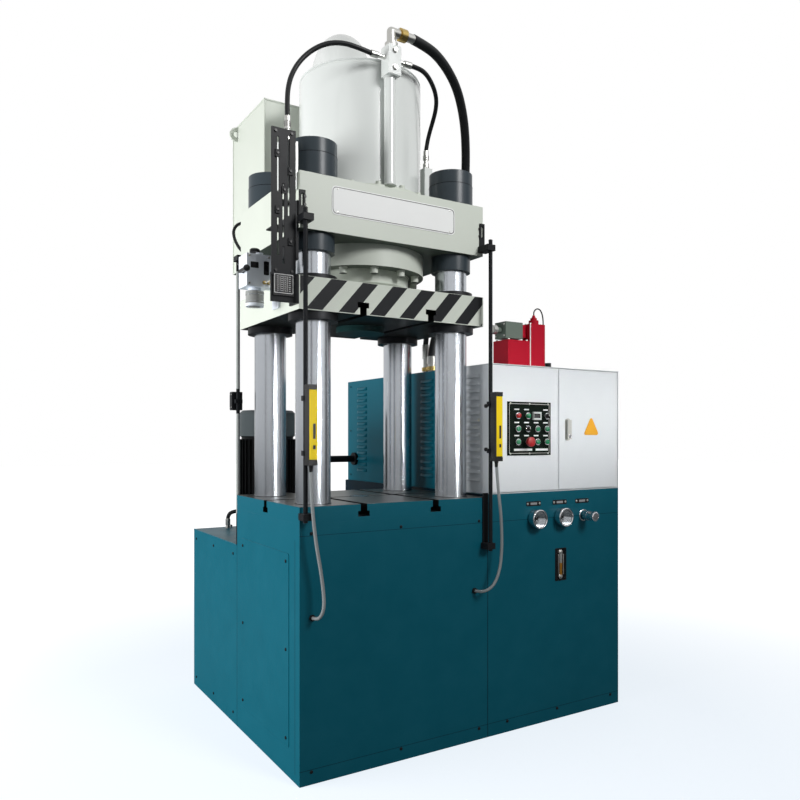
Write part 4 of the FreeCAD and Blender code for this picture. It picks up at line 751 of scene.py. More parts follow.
def bent_pipe(bm, points, radius, finish_index=0, sides=12):
    """A rigid bent pipe or wire along the points."""
    path = smooth_points(points)
    heading = (path[1] - path[0]).normalized()
    side = heading.orthogonal().normalized()
    rings = []
    for index, spot in enumerate(path):
        ahead = path[min(index + 1, len(path) - 1)] - path[max(index - 1, 0)]
        ahead.normalize()
        side = (side - ahead * side.dot(ahead)).normalized()
        up = ahead.cross(side)
        rings.append([bm.verts.new(spot + (side * math.cos(2 * math.pi * s / sides)
                                           + up * math.sin(2 * math.pi * s / sides)) * radius)
                      for s in range(sides)])
    for here, there in zip(rings, rings[1:]):
        for s in range(sides):
            after = (s + 1) % sides
            bm.faces.new((here[s], here[after], there[after], there[s])).material_index = finish_index
    bm.faces.new(rings[0][::-1]).material_index = finish_index
    bm.faces.new(rings[-1]).material_index = finish_index


def hex_head(bm, foot, heading, across, tall, finish_index=0, washer=True):
    """A hexagon bolt head with a chamfered crown, on its washer."""
    flat = across / math.cos(math.pi / 6) / 2
    base = 0.0
    if washer:
        lathe(bm, foot, heading, [(0.0, across * 0.62), (tall * 0.16, across * 0.62)], finish_index, 24)
        base = tall * 0.16
    lathe(bm, foot, heading, [(base, flat), (tall * 0.86, flat), (tall, flat * 0.88)], finish_index, 6)


def socket_head(bm, foot, heading, radius, tall, finish_index=0, recess_shade_index=0):
    """A cap screw head; a dark hexagon in its recess is painted shade."""
    lathe(bm, foot, heading, [(0.0, radius), (tall * 0.85, radius), (tall, radius * 0.92),
                              (tall, radius * 0.50)], finish_index, 24)
    turn = Vector(heading).normalized()
    # Painted shade: a dark hexagon fills the recess.
    lathe(bm, Vector(foot) + turn * tall * 0.4, heading,
          [(0.0, radius * 0.48), (tall * 0.601, radius * 0.48)], recess_shade_index, 6)


CORNER_STEPS = 5


def rounded_outline(wide, tall, corner):
    """Corner points of a rounded rectangle about the middle, anticlockwise."""
    spots = []
    for quarter, (sx, sy) in enumerate(((1, 1), (-1, 1), (-1, -1), (1, -1))):
        for step in range(CORNER_STEPS + 1):
            angle = math.pi / 2 * (quarter + step / CORNER_STEPS)
            spots.append((sx * (wide / 2 - corner) + corner * math.cos(angle),
                          sy * (tall / 2 - corner) + corner * math.sin(angle)))
    return spots


def plate(bm, centre, right, up, wide, tall, thick, corner=0.002, finish_index=0):
    """A thin rounded plate; it stands off its surface by its thickness, towards the viewer."""
    right, up, centre = Vector(right), Vector(up), Vector(centre)
    out = right.cross(up).normalized() * thick
    outline = rounded_outline(wide, tall, corner)
    back = [bm.verts.new(centre + right * a + up * b) for a, b in outline]
    front = [bm.verts.new(centre + right * a * 0.999 + up * b * 0.999 + out) for a, b in outline]
    count = len(outline)
    for step in range(count):
        after = (step + 1) % count
        bm.faces.new((back[step], back[after], front[after], front[step])).material_index = finish_index
    bm.faces.new(front).material_index = finish_index
    bm.faces.new(back[::-1]).material_index = finish_index


def frame_border(bm, centre, right, up, wide, tall, thick, line, corner=0.003, finish_index=0):
    """A thin raised line round a plate."""
    right, up, centre = Vector(right), Vector(up), Vector(centre)
    out = right.cross(up).normalized()
    outer = rounded_outline(wide, tall, corner)
    inner = rounded_outline(wide - 2 * line, tall - 2 * line, max(corner - line, 0.0004))
    rings = [[bm.verts.new(centre + right * a + up * b + out * level) for a, b in loop]
             for loop, level in ((outer, 0.0), (outer, thick), (inner, thick), (inner, 0.0))]
    count = len(outer)
    for here, there in zip(rings, rings[1:] + rings[:1]):
        for step in range(count):
            after = (step + 1) % count
            bm.faces.new((here[step], here[after], there[after], there[step])).material_index = finish_index


def settle(bm, name, body, finishes, edge=0.0, smooth=35.0):
    """Turn a bmesh into a piece with its finishes, riding on a body."""
    bmesh.ops.recalc_face_normals(bm, faces=bm.faces)
    data = bpy.data.meshes.new(name)
    bm.to_mesh(data)
    bm.free()
    for key in finishes:
        data.materials.append(MATERIALS[key])
    data.shade_smooth()
    data.set_sharp_from_angle(angle=math.radians(smooth))
    piece = bpy.data.objects.new(name, data)
    bpy.context.scene.collection.objects.link(piece)
    if edge:
        rounding = piece.modifiers.new("Edge", "BEVEL")
        rounding.width = edge
        rounding.segments = 2
        rounding.limit_method = "ANGLE"
        rounding.angle_limit = math.radians(40)
    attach(piece, body)
    return piece


FRONT = ((1.0, 0.0, 0.0), (0.0, 0.0, 1.0))
LEFT = ((0.0, -1.0, 0.0), (0.0, 0.0, 1.0))
REAR = ((-1.0, 0.0, 0.0), (0.0, 0.0, 1.0))


# ----------------------------------------------------------------------- hoses

MAIN_ROUTE = [(0.090, -0.266, 2.782), (0.169, -0.245, 2.784), (0.238, -0.226, 2.772),
              (0.310, -0.201, 2.739), (0.374, -0.170, 2.696), (0.428, -0.132, 2.642),
              (0.475, -0.091, 2.575), (0.515, -0.045, 2.484), (0.541, -0.005, 2.370),
              (0.554, 0.032, 2.232), (0.557, 0.064, 2.085), (0.550, 0.091, 1.945),
              (0.529, 0.116, 1.832), (0.497, 0.137, 1.742), (0.471, 0.147, 1.668),
              (0.463, 0.148, 1.600)]
LEFT_ROUTE = [(-0.110, -0.285, 2.666), (-0.165, -0.285, 2.672), (-0.222, -0.275, 2.678),
              (-0.280, -0.258, 2.668), (-0.333, -0.240, 2.636), (-0.377, -0.230, 2.588),
              (-0.408, -0.232, 2.532), (-0.426, -0.243, 2.478), (-0.436, -0.257, 2.422),
              (-0.437, -0.262, 2.363)]
SMALL_ROUTE = [(0.068, -0.285, 2.664), (0.112, -0.278, 2.668), (0.160, -0.254, 2.670),
               (0.205, -0.222, 2.664), (0.250, -0.185, 2.652), (0.285, -0.147, 2.634),
               (0.309, -0.105, 2.612), (0.323, -0.062, 2.583), (0.329, -0.028, 2.549),
               (0.331, -0.008, 2.514), (0.330, 0.0, 2.480)]
RETURN_ROUTE = [(0.463, 0.200, 1.660), (0.467, 0.200, 1.716), (0.486, 0.202, 1.777),
                (0.515, 0.203, 1.836), (0.545, 0.203, 1.896), (0.562, 0.203, 1.960),
                (0.549, 0.202, 2.022), (0.505, 0.201, 2.062), (0.445, 0.200, 2.070)]
LEFT_CABLE = [(-0.400, -0.379, 1.120), (-0.399, -0.381, 1.030), (-0.392, -0.382, 0.935),
              (-0.379, -0.380, 0.845), (-0.363, -0.379, 0.765), (-0.355, -0.382, 0.700),
              (-0.354, -0.388, 0.655), (-0.357, -0.389, 0.625), (-0.362, -0.380, 0.603),
              (-0.366, -0.361, 0.590), (-0.370, -0.331, 0.588)]
RIGHT_CABLE = [(0.416, -0.379, 1.120), (0.421, -0.381, 1.035), (0.433, -0.382, 0.945),
               (0.442, -0.381, 0.855), (0.442, -0.382, 0.775), (0.433, -0.384, 0.708),
               (0.414, -0.386, 0.658), (0.391, -0.384, 0.627), (0.368, -0.373, 0.611),
               (0.353, -0.353, 0.606), (0.348, -0.331, 0.606)]


def hose(node, route, diameter, finish_key):
    """A smooth hose on its route, in place of the solid that holds its space."""
    curve = bpy.data.curves.new(node + "_line", "CURVE")
    curve.dimensions = "3D"
    curve.bevel_depth = diameter / 2
    curve.bevel_resolution = 6
    curve.resolution_u = 10
    curve.use_fill_caps = True
    spline = curve.splines.new("NURBS")
    spline.points.add(len(route) - 1)
    for point, spot in zip(spline.points, route):
        point.co = (*spot, 1.0)
    spline.order_u = 3
    spline.use_endpoint_u = True
    curve.materials.append(MATERIALS[finish_key])
    piece = bpy.data.objects.new(node + "_cover", curve)
    bpy.context.scene.collection.objects.link(piece)
    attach(piece, "frame")
    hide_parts(node)


class PRESS_OT_hoses(bpy.types.Operator):
    """Lay the four hydraulic hoses and the two light-curtain cables"""
    bl_idname = "press.hoses"
    bl_label = "Hoses and cables"

    def execute(self, context):
        hose("main_hose", MAIN_ROUTE, 0.038, "hose_rubber")
        hose("left_hose", LEFT_ROUTE, 0.018, "hose_rubber")
        hose("small_hose", SMALL_ROUTE, 0.018, "hose_rubber")
        hose("return_hose", RETURN_ROUTE, 0.025, "hose_rubber")
        hose("curtain_cable_left", LEFT_CABLE, 0.012, "cable_grey")
        hose("curtain_cable_right", RIGHT_CABLE, 0.012, "cable_grey")
        return {"FINISHED"}


class PRESS_OT_finishes(bpy.types.Operator):
    """Mix every finish and put it on the frame"""
    bl_idname = "press.finishes"
    bl_label = "Finishes"

    def execute(self, context):
        make_materials()
        dress_nodes()
        return {"FINISHED"}


# ---------------------------------------------------------------- crown pieces

def make_nameplate():
    """Bare white plate with a fine dark line and four rivets."""
    low = BOX["crown"][0]
    bm = bmesh.new()
    centre = (-0.009, low[1], 2.0825)
    plate(bm, centre, *FRONT, 0.548, 0.105, 0.0012, 0.018, 0)
    face = (centre[0], low[1] - 0.0012, centre[2])
    frame_border(bm, face, *FRONT, 0.540, 0.097, 0.0005, 0.0022, 0.016, 1)
    for x in (-0.258, 0.240):
        for z in (2.041, 2.124):
            lathe(bm, (x, low[1] - 0.0012, z), (0, -1, 0), [(0, 0.0032), (0.0009, 0.0026), (0.0014, 0.001)],
                  2, 12)
    settle(bm, "name_plate", "frame", ["label_white", "knob_black", "plated_zinc"])


def make_nut_details():
    """Grooves, spanner slots and rounded rims on the column nuts."""
    bm = bmesh.new()
    low, high = BOX["columns"]
    reach_x = (high[0] - low[0]) / 2 - 0.065
    reach_y = (high[1] - low[1]) / 2 - 0.065
    groove = detail().nut_groove
    for x in (-reach_x, reach_x):
        for y in (-reach_y, reach_y):
            hoop(bm, (x, y, 2.251), (0, 0, 1), 0.0893, groove * 0.35, 0, 48, 6)
            hoop(bm, (x, y, 2.1675), (0, 0, 1), 0.0903, 0.0016, 1, 48, 6)
            hoop(bm, (x, y, 1.962), (0, 0, 1), 0.0802, 0.0016, 1, 48, 6)
            lathe(bm, (x, y, 2.296), (0, 0, 1), [(0, 0.0645), (0.0045, 0.063), (0.006, 0.058)], 2, 40)
            for degrees in (20, 110):
                angle = math.radians(degrees)
                out = Vector((math.cos(angle), math.sin(angle), 0))
                for z, reach in ((2.2765, 0.0885), (2.208, 0.0895)):
                    lathe(bm, Vector((x, y, z)) + out * reach, out,
                          [(0, 0.0085), (0.0008, 0.0085), (0.0012, 0.0072), (0.0006, 0.0062)], 0, 20)
    settle(bm, "nut_trim", "frame", ["black_enamel", "slate_enamel", "plated_zinc"])


def make_cylinder_details():
    """Weld beads and edge rounds on the cylinder, its dome collar and the bend."""
    bm = bmesh.new()
    middle = (0.0, 0.0)
    hoop(bm, (*middle, 2.1875), (0, 0, 1), 0.2515, 0.0035, 0, 96, 6)
    hoop(bm, (*middle, 2.6735), (0, 0, 1), 0.2475, 0.0034, 0, 96, 8)
    hoop(bm, (-0.017, 0.078, 2.6765), (0, 0, 1), 0.1195, 0.0035, 0, 64, 6)
    hoop(bm, (0.083, 0.478, 2.6925), (0, 0, 1), 0.1195, 0.0035, 0, 64, 6)
    for turn in range(8):
        angle = math.radians(22.5 + 45 * turn)
        for x, y, z in ((-0.017, 0.078, 2.733), (0.083, 0.478, 2.748)):
            spot = Vector((x + 0.1092 * math.cos(angle), y + 0.1092 * math.sin(angle), z))
            hex_head(bm, spot, (0, 0, 1), 0.013, 0.008, 1)
    settle(bm, "weld_beads", "frame", ["white_enamel", "plated_zinc"])


def make_ring_bolt_details():
    """Painted shade as dark hexagons in the cap screws' recesses, and rings under the cap screws of both
    flanges.
    """
    bm = bmesh.new()
    for turn in range(12):
        angle = math.radians(15 + 30 * turn)
        spot = Vector((0.232 * math.cos(angle), 0.232 * math.sin(angle), 1.8558))
        # Painted shade: a dark hexagon on each lower screw head stands for its recess.
        lathe(bm, spot, (0, 0, -1), [(0, 0.0072), (0.0003, 0.0072)], 0, 6)
        hoop(bm, spot + Vector((0, 0, 0.0235)), (0, 0, 1), 0.0158, 0.0016, 1, 24, 6)
    for turn in range(16):
        angle = math.radians(9 + 22.5 * turn)
        spot = Vector((0.266 * math.cos(angle), 0.266 * math.sin(angle), 2.2002))
        # Painted shade: a dark hexagon on each upper screw head stands for its recess.
        lathe(bm, spot, (0, 0, 1), [(0, 0.0054), (0.0003, 0.0054)], 0, 6)
    hoop(bm, (0, 0, 1.8795), (0, 0, 1), 0.2005, 0.003, 2, 96, 6)
    hoop(bm, (0, 0, 1.8215), (0, 0, 1), 0.1795, 0.0035, 0, 96, 6)
    settle(bm, "flange_screw_trim", "frame", ["knob_black", "plated_zinc", "pale_enamel"])


def make_upper_tank_details():
    """Folded rims, a filler cap, and lid screws on the upper tank."""
    low, high = (-0.295, 0.318, 2.000), (0.295, 0.718, 2.690)
    bm = bmesh.new()
    for z in (low[2] + 0.004, high[2] - 0.004):
        for a, b in (((low[0], low[1]), (high[0], low[1])), ((high[0], low[1]), (high[0], high[1])),
                     ((high[0], high[1]), (low[0], high[1])), ((low[0], high[1]), (low[0], low[1]))):
            bar(bm, (*a, z), (*b, z), 0.004, 0, 10)
    for x in (low[0], high[0]):
        for y in (low[1], high[1]):
            bar(bm, (x, y, low[2] + 0.004), (x, y, high[2] - 0.004), 0.004, 0, 10)
            lathe(bm, (x, y, high[2] - 0.005), (0, 0, 1), [(0, 0.0045), (0.004, 0.0045), (0.006, 0.002)],
                  0, 12)
    lathe(bm, (-0.185, 0.560, high[2]), (0, 0, 1),
          [(0, 0.034), (0.006, 0.034), (0.006, 0.024), (0.022, 0.024), (0.022, 0.033), (0.050, 0.033),
           (0.056, 0.028), (0.058, 0.010)], 1, 32)
    for turn in range(6):
        angle = math.radians(60 * turn)
        hex_head(bm, (-0.185 + 0.029 * math.cos(angle), 0.560 + 0.029 * math.sin(angle), high[2] + 0.006),
                 (0, 0, 1), 0.005, 0.003, 2, washer=False)
    plate(bm, (0.0, high[1], 2.36), *REAR, 0.30, 0.42, 0.004, 0.012, 0)
    for column in range(3):
        for row in range(4):
            spot = (-0.135 + 0.135 * column, high[1] + 0.004, 2.165 + 0.13 * row)
            if column == 1 and row in (1, 2):
                continue
            hex_head(bm, spot, (0, 1, 0), 0.012, 0.007, 2)
    hex_head(bm, (0.20, high[1], 2.05), (0, 1, 0), 0.028, 0.014, 2)
    settle(bm, "tank_trim", "frame", ["pale_enamel", "black_enamel", "plated_zinc"])
    bm = bmesh.new()
    bent_pipe(bm, [(-0.293, 0.536, 2.205), (-0.312, 0.545, 2.204), (-0.335, 0.560, 2.192),
                   (-0.346, 0.570, 2.166), (-0.345, 0.558, 2.128), (-0.336, 0.532, 2.088),
                   (-0.322, 0.512, 2.062), (-0.306, 0.502, 2.048), (-0.293, 0.498, 2.044)], 0.0070, 0, 16)
    for spot in ((-0.295, 0.536, 2.205), (-0.295, 0.498, 2.044)):
        hex_head(bm, spot, (-1, 0, 0), 0.012, 0.009, 1)
    settle(bm, "breather_hose", "frame", ["hose_rubber", "black_enamel"])


class PRESS_OT_crown(bpy.types.Operator):
    """Fit the nameplate, nut trim, weld beads, flange screws and upper-tank trim"""
    bl_idname = "press.crown"
    bl_label = "Crown and cylinder trim"

    def execute(self, context):
        make_nameplate()
        make_nut_details()
        make_cylinder_details()
        make_ring_bolt_details()
        make_upper_tank_details()
        return {"FINISHED"}


# -------------------------------------------------------------- cabinet pieces

def louver_hood(bm, face_x, middle_y, foot_z, wide, tall, stand, finish_index):
    """One pressed louver hood on a left-facing wall, open at its foot."""
    across = 10
    down = 5
    grid = []
    for column in range(across + 1):
        share = column / across
        y = middle_y - wide / 2 + wide * share
        edge = min(share, 1 - share) * wide
        reach = stand * math.sin(min(edge / (0.16 * wide), 1.0) * math.pi / 2)
        grid.append([bm.verts.new((face_x - 0.0004 - reach * math.sin(row / down * math.pi / 2), y,
                                   foot_z + tall * (1 - row / down))) for row in range(down + 1)])
    for here, there in zip(grid, grid[1:]):
        for row in range(down):
            face = bm.faces.new((here[row], here[row + 1], there[row + 1], there[row]))
            face.material_index = finish_index


def make_louvers():
    """Hoods over every slot in the left walls of the cabinet and the pump enclosure."""
    low = BOX["electric_cabinet"][0]
    stand = detail().louver_stand
    for name, finish_key, rows, slot in (
            ("cabinet_louvers", "cabinet_enamel", (-0.197,), "cabinet_paint"),
            ("enclosure_louvers", "teal_enamel", (0.145, 0.768), "teal_paint")):
        bm = bmesh.new()
        for middle in rows:
            for count in range(15):
                louver_hood(bm, low[0], middle, 1.0395 + 0.031 * count, 0.106, 0.017, stand, 0)
        piece = settle(bm, name, "frame", [finish_key], smooth=60.0)
        shell = piece.modifiers.new("Sheet", "SOLIDIFY")
        shell.thickness = 0.0012
        shell.offset = 1.0


def make_door_details():
    """Door edge lines, hinge knuckles, lock plate, and the plain yellow triangle."""
    low, high = BOX["door_left"]
    y = low[1]
    for name, node, extra in (("door_left_trim", "door_left", 0), ("door_right_trim", "door_right", 1)):
        low, high = BOX[node]
        bm = bmesh.new()
        middle = ((low[0] + high[0]) / 2, y, 1.259)
        frame_border(bm, middle, *FRONT, 0.3595, 0.518, 0.0006, 0.003, 0.004, 0)
        if extra:
            triangle_plate(bm, (1.008, y - 0.0006, 1.262), 0.048, 0.0012, 1)
            plate(bm, (0.863, y, 1.258), *FRONT, 0.030, 0.098, 0.0025, 0.014, 2)
        settle(bm, name, node, ["cabinet_enamel", "mark_yellow", "plated_zinc"])
    bm = bmesh.new()
    for x in (0.447, 1.169):
        for z in (1.060, 1.458):
            lathe(bm, (x, -0.3165, z - 0.020), (0, 0, 1),
                  [(0, 0.0035), (0.001, 0.0045), (0.039, 0.0045), (0.040, 0.0035)], 0, 16)
    settle(bm, "hinge_pins", "frame", ["plated_zinc"])


def triangle_plate(bm, centre, reach, thick, finish_index):
    """A plain triangular plate with rounded corners."""
    corners = []
    for turn in range(3):
        aim = math.radians(90 + 120 * turn)
        for step in range(-3, 4):
            angle = aim + math.radians(20 * step)
            corners.append((0.82 * reach * math.cos(aim) + 0.18 * reach * math.cos(angle),
                            0.82 * reach * math.sin(aim) + 0.18 * reach * math.sin(angle)))
    x, y, z = centre
    back = [bm.verts.new((x + a, y, z + b)) for a, b in corners]
    front = [bm.verts.new((x + a * 0.98, y - thick, z + b * 0.98)) for a, b in corners]
    for step in range(len(corners)):
        after = (step + 1) % len(corners)
        bm.faces.new((back[step], back[after], front[after], front[step])).material_index = finish_index
    bm.faces.new(front).material_index = finish_index
    bm.faces.new(back[::-1]).material_index = finish_index


def make_handle_details():
    """Key barrel and thumb ridge on the door handle."""
    low, high = BOX["door_handle"]
    middle = (low[0] + high[0]) / 2
    bm = bmesh.new()
    lathe(bm, (middle, low[1], 1.228), (0, -1, 0),
          [(0, 0.0075), (0.002, 0.0075), (0.0028, 0.0062), (0.0018, 0.0052)], 0, 24)
    block(bm, (middle - 0.0008, low[1] - 0.0022, 1.2245), (middle + 0.0008, low[1] - 0.0015, 1.2315), 1)
    settle(bm, "handle_trim", "door_handle", ["bright_chrome", "knob_black"], edge=0.0003)


def make_cabinet_seams():
    """Screws, drip rim and joint strips on the cabinet and the enclosure."""
    cab_low, cab_high = BOX["electric_cabinet"]
    pump_low, pump_high = BOX["pump_enclosure"]
    bm = bmesh.new()
    top = cab_high[2]
    for a, b in (((cab_low[0], cab_low[1]), (cab_high[0], cab_low[1])),
                 ((cab_high[0], cab_low[1]), (cab_high[0], cab_high[1])),
                 ((cab_low[0], cab_high[1]), (cab_low[0], cab_low[1]))):
        bar(bm, (*a, top - 0.002), (*b, top - 0.002), 0.0022, 0, 8)
    for y in (pump_low[1] + 0.035, pump_low[1] + 0.47, pump_high[1] - 0.035):
        for z in (1.020, 1.259, 1.500):
            lathe(bm, (pump_low[0], y, z), (-1, 0, 0), [(0, 0.0052), (0.0016, 0.0048), (0.0026, 0.003)],
                  1, 16)
    for x in (0.52, 0.81, 1.10):
        for z in (1.020, 1.500):
            lathe(bm, (x, pump_high[1], z), (0, 1, 0), [(0, 0.0052), (0.0016, 0.0048), (0.0026, 0.003)],
                  1, 16)
    for count in range(15):
        z = 1.0395 + 0.031 * count
        block(bm, (0.55, pump_high[1] - 0.0005, z + 0.0), (0.68, pump_high[1] + 0.0012, z + 0.006), 2)
        block(bm, (0.92, pump_high[1] - 0.0005, z + 0.0), (1.05, pump_high[1] + 0.0012, z + 0.006), 2)
    settle(bm, "cabinet_seams", "frame", ["cabinet_enamel", "black_enamel", "teal_enamel"], edge=0.0004)


class PRESS_OT_cabinet(bpy.types.Operator):
    """Fit the louver hoods, door trims, handle trim and seams of the right-hand cabinet"""
    bl_idname = "press.cabinet"
    bl_label = "Cabinet trim"

    def execute(self, context):
        make_louvers()
        make_door_details()
        make_handle_details()
        make_cabinet_seams()
        return {"FINISHED"}


# ---------------------------------------------------------------- panel pieces

def panel_spots():
    """Centres of the twelve panel places, counted along each row from the lower left."""
    return [(0.568 + 0.0537 * (place % 4), 1.2045 + 0.055 * (place // 4)) for place in range(12)]


def make_panel_details():
    """Silver line, screws, bare label strips and the meter's window on the control panel."""
    low, high = BOX["control_panel"]
    y = low[1]
    middle = ((low[0] + high[0]) / 2, y, (low[2] + high[2]) / 2)
    bm = bmesh.new()
    frame_border(bm, middle, *FRONT, 0.224, 0.210, 0.0006, 0.0022, 0.002, 0)
    for x in (middle[0] - 0.105, middle[0], middle[0] + 0.105):
        for z in (low[2] + 0.0075, high[2] - 0.0075):
            lathe(bm, (x, y, z), (0, -1, 0), [(0, 0.0042), (0.0012, 0.004), (0.002, 0.0024)], 0, 16)
    for place, (x, z) in enumerate(panel_spots()):
        if place == 10:
            continue
        plate(bm, (x, y, z + 0.0265), *FRONT, 0.026, 0.0052, 0.0006, 0.001, 1)
    plate(bm, (0.603, y, low[2] + 0.0235), *FRONT, 0.100, 0.009, 0.0006, 0.001, 1)
    plate(bm, (0.708, y, low[2] + 0.0235), *FRONT, 0.070, 0.009, 0.0006, 0.001, 1)
    x, z = panel_spots()[10]
    frame_border(bm, (x, y - 0.005, z), *FRONT, 0.044, 0.034, 0.0012, 0.0055, 0.002, 1)
    plate(bm, (x, y - 0.005, z - 0.001), *FRONT, 0.033, 0.016, 0.0006, 0.001, 2)
    for digit in range(3):
        left = x - 0.0095 + 0.0095 * digit
        for a, b in (((-0.002, 0.0042), (0.002, 0.0052)), ((-0.002, -0.0005), (0.002, 0.0005)),
                     ((-0.002, -0.0052), (0.002, -0.0042)), ((-0.003, -0.005), (-0.002, 0.005)),
                     ((0.002, -0.005), (0.003, 0.005))):
            block(bm, (left + a[0], y - 0.0060, z - 0.001 + a[1]),
                  (left + b[0], y - 0.0055, z - 0.001 + b[1]), 3)
    settle(bm, "panel_trim", "door_left", ["plated_zinc", "label_white", "knob_black", "stop_red"])


def make_button_caps():
    """Domed caps, a mushroom rim and selector pointers, each on its own moving button."""
    spots = panel_spots()
    number = 1
    for place, (x, z) in enumerate(spots):
        if place in (8, 9, 10):
            continue
        bm = bmesh.new()
        if place == 1:
            low = BOX["emergency_stop"][0]
            y = low[1]
            lathe(bm, (x, y + 0.004, z), (0, -1, 0),
                  [(0, 0.0204), (0.004, 0.0200), (0.0062, 0.0170), (0.0078, 0.0110), (0.0083, 0.004)],
                  0, 40)
            settle(bm, "stop_cap", "emergency_stop", ["stop_red"])
        elif place in (5, 11):
            body = "mode_selector" if place == 5 else "power_selector"
            y = BOX[body][0][1]
            lathe(bm, (x, y + 0.011, z), (0, -1, 0), [(0, 0.0104), (0.004, 0.0100), (0.0052, 0.0085)],
                  0, 32)
            plate(bm, (x, y, z + 0.004), *FRONT, 0.0016, 0.009, 0.0006, 0.0005, 1)
            settle(bm, body + "_cap", body, ["knob_black", "label_white"])
        else:
            body = f"green_button_{number}"
            number += 1
            y = BOX[body][0][1]
            lathe(bm, (x, y, z), (0, -1, 0), [(0, 0.0098), (0.0012, 0.0094), (0.0022, 0.0078),
                                             (0.0027, 0.0045)], 0, 32)
            settle(bm, body + "_cap", body, ["button_green"])
    for place, key, name in ((8, "stop_red", "red_lamp_cap"), (9, "button_green", "green_lamp_cap")):
        x, z = spots[place]
        bm = bmesh.new()
        y = BOX["panel_lamps"][0][1]
        lathe(bm, (x, y, z), (0, -1, 0), [(0, 0.0100), (0.0020, 0.0090), (0.0036, 0.0066),
                                         (0.0044, 0.0030)], 0, 32)
        settle(bm, name, "door_left", [key])


class PRESS_OT_panel(bpy.types.Operator):
    """Fit the control panel's line, labels, meter window and button caps"""
    bl_idname = "press.panel"
    bl_label = "Control panel trim"

    def execute(self, context):
        make_panel_details()
        make_button_caps()
        return {"FINISHED"}


# ------------------------------------------------------- gauges and tank front

def make_gauge_details():
    """Chrome bezels, dial cards, glass, and the bare label strips over the gauges."""
    bm = bmesh.new()
    low, high = BOX["gauge_cases"]
    radius = (high[2] - low[2]) / 2
    for x, y, z in gauge_centres():
        lathe(bm, (x, y + 0.004, z), (0, -1, 0),
              [(0, radius + 0.0006), (0.0035, radius + 0.0006), (0.0062, radius - 0.001),
               (0.0068, radius - 0.004), (0.0050, radius - 0.0062), (0.0030, radius - 0.0066),
               (0.0030, radius - 0.0066)], 0, 56)
        lathe(bm, (x, -0.3240, z), (0, 1, 0), [(0, radius + 0.0035), (0.0014, radius + 0.0035)], 0, 48)
    rims = settle(bm, "gauge_rims", "frame", ["bright_chrome"])
    open_middles(rims)
    bm = bmesh.new()
    for x, y, z in gauge_centres():
        lathe(bm, (x, -0.3272, z), (0, -1, 0), [(0, 0.0350), (0.0004, 0.0350)], 0, 48)
    settle(bm, "gauge_dials", "frame", ["dial_white"])
    if detail().glass:
        bm = bmesh.new()
        for x, y, z in gauge_centres():
            lathe(bm, (x, y + 0.0065, z), (0, -1, 0), [(0, 0.0352), (0.0016, 0.0352), (0.0020, 0.0330)],
                  0, 48)
        settle(bm, "gauge_glass", "frame", ["clear_glass"])
    bm = bmesh.new()
    wall = BOX["cabinet_base"][0][1]
    for x in (0.665, 0.815, 0.950):
        z = 0.9415
        plate(bm, (x, wall, z), *FRONT, 0.082, 0.020, 0.0012, 0.004, 0)
        plate(bm, (x, wall - 0.0012, z), *FRONT, 0.036, 0.0095, 0.0004, 0.001, 1)
        for side in (-1, 1):
            lathe(bm, (x + 0.0335 * side, wall - 0.0012, z), (0, -1, 0),
                  [(0, 0.0048), (0.0012, 0.0044), (0.0020, 0.0024)], 2, 16)
    settle(bm, "gauge_labels", "frame", ["knob_black", "gear_grey", "plated_zinc"])


def open_middles(piece):
    """Cut the closed ends of turned rims, so that the dials show through them."""
    bm = bmesh.new()
    bm.from_mesh(piece.data)
    discs = [face for face in bm.faces if len(face.verts) > 20]
    bmesh.ops.delete(bm, geom=discs, context="FACES_ONLY")
    bm.to_mesh(piece.data)
    bm.free()


def make_needle_hubs():
    for index, name in enumerate(("gauge_needle_left", "gauge_needle_right")):
        x, _, z = gauge_centres()[index]
        bm = bmesh.new()
        tip = BOX[name][0][1]
        lathe(bm, (x, tip + 0.0004, z), (0, -1, 0), [(0, 0.0042), (0.0012, 0.0040), (0.0022, 0.0022)],
              0, 20)
        settle(bm, name + "_hub", name, ["knob_black"])


def make_knob_details():
    """Fluted grips on the pressure knob and the valve knob."""
    low, high = BOX["pressure_knob"]
    x, z = (low[0] + high[0]) / 2, (low[2] + high[2]) / 2
    radius = (high[2] - low[2]) / 2
    bm = bmesh.new()
    for turn in range(24):
        angle = math.radians(15 * turn)
        spot = Vector((x + (radius + 0.0002) * math.cos(angle), 0, z + (radius + 0.0002) * math.sin(angle)))
        for near, far in ((-0.3975, -0.376), (-0.358, -0.340)):
            bar(bm, (spot.x, near, spot.z), (spot.x, far, spot.z), 0.0013, 0, 8)
    lathe(bm, (x, low[1] + 0.0005, z), (0, -1, 0),
          [(0, 0.0165), (0.0003, 0.0150), (-0.0002, 0.0070), (-0.0002, 0.0066)], 1, 32)
    settle(bm, "pressure_knob_grip", "pressure_knob", ["bright_chrome", "gear_grey"])
    bm = bmesh.new()
    wall = BOX["cabinet_base"][0][1]
    lathe(bm, (x, wall + 0.001, z), (0, -1, 0), [(0, 0.026), (0.004, 0.026), (0.0055, 0.0235),
                                                 (0.0055, 0.0215), (0.004, 0.0212)], 0, 40)
    ring = settle(bm, "pressure_knob_nut", "frame", ["bright_chrome"])
    open_middles(ring)
    low, high = BOX["valve_knob"]
    y, z = (low[1] + high[1]) / 2, (low[2] + high[2]) / 2
    radius = (high[2] - low[2]) / 2
    bm = bmesh.new()
    for turn in range(20):
        angle = math.radians(18 * turn)
        across, up = (radius - 0.0006) * math.cos(angle), (radius - 0.0006) * math.sin(angle)
        bar(bm, (low[0] + 0.001, y + across, z + up), (low[0] + 0.022, y + across, z + up), 0.0012, 0, 8)
    settle(bm, "valve_knob_grip", "valve_knob", ["gear_grey"])


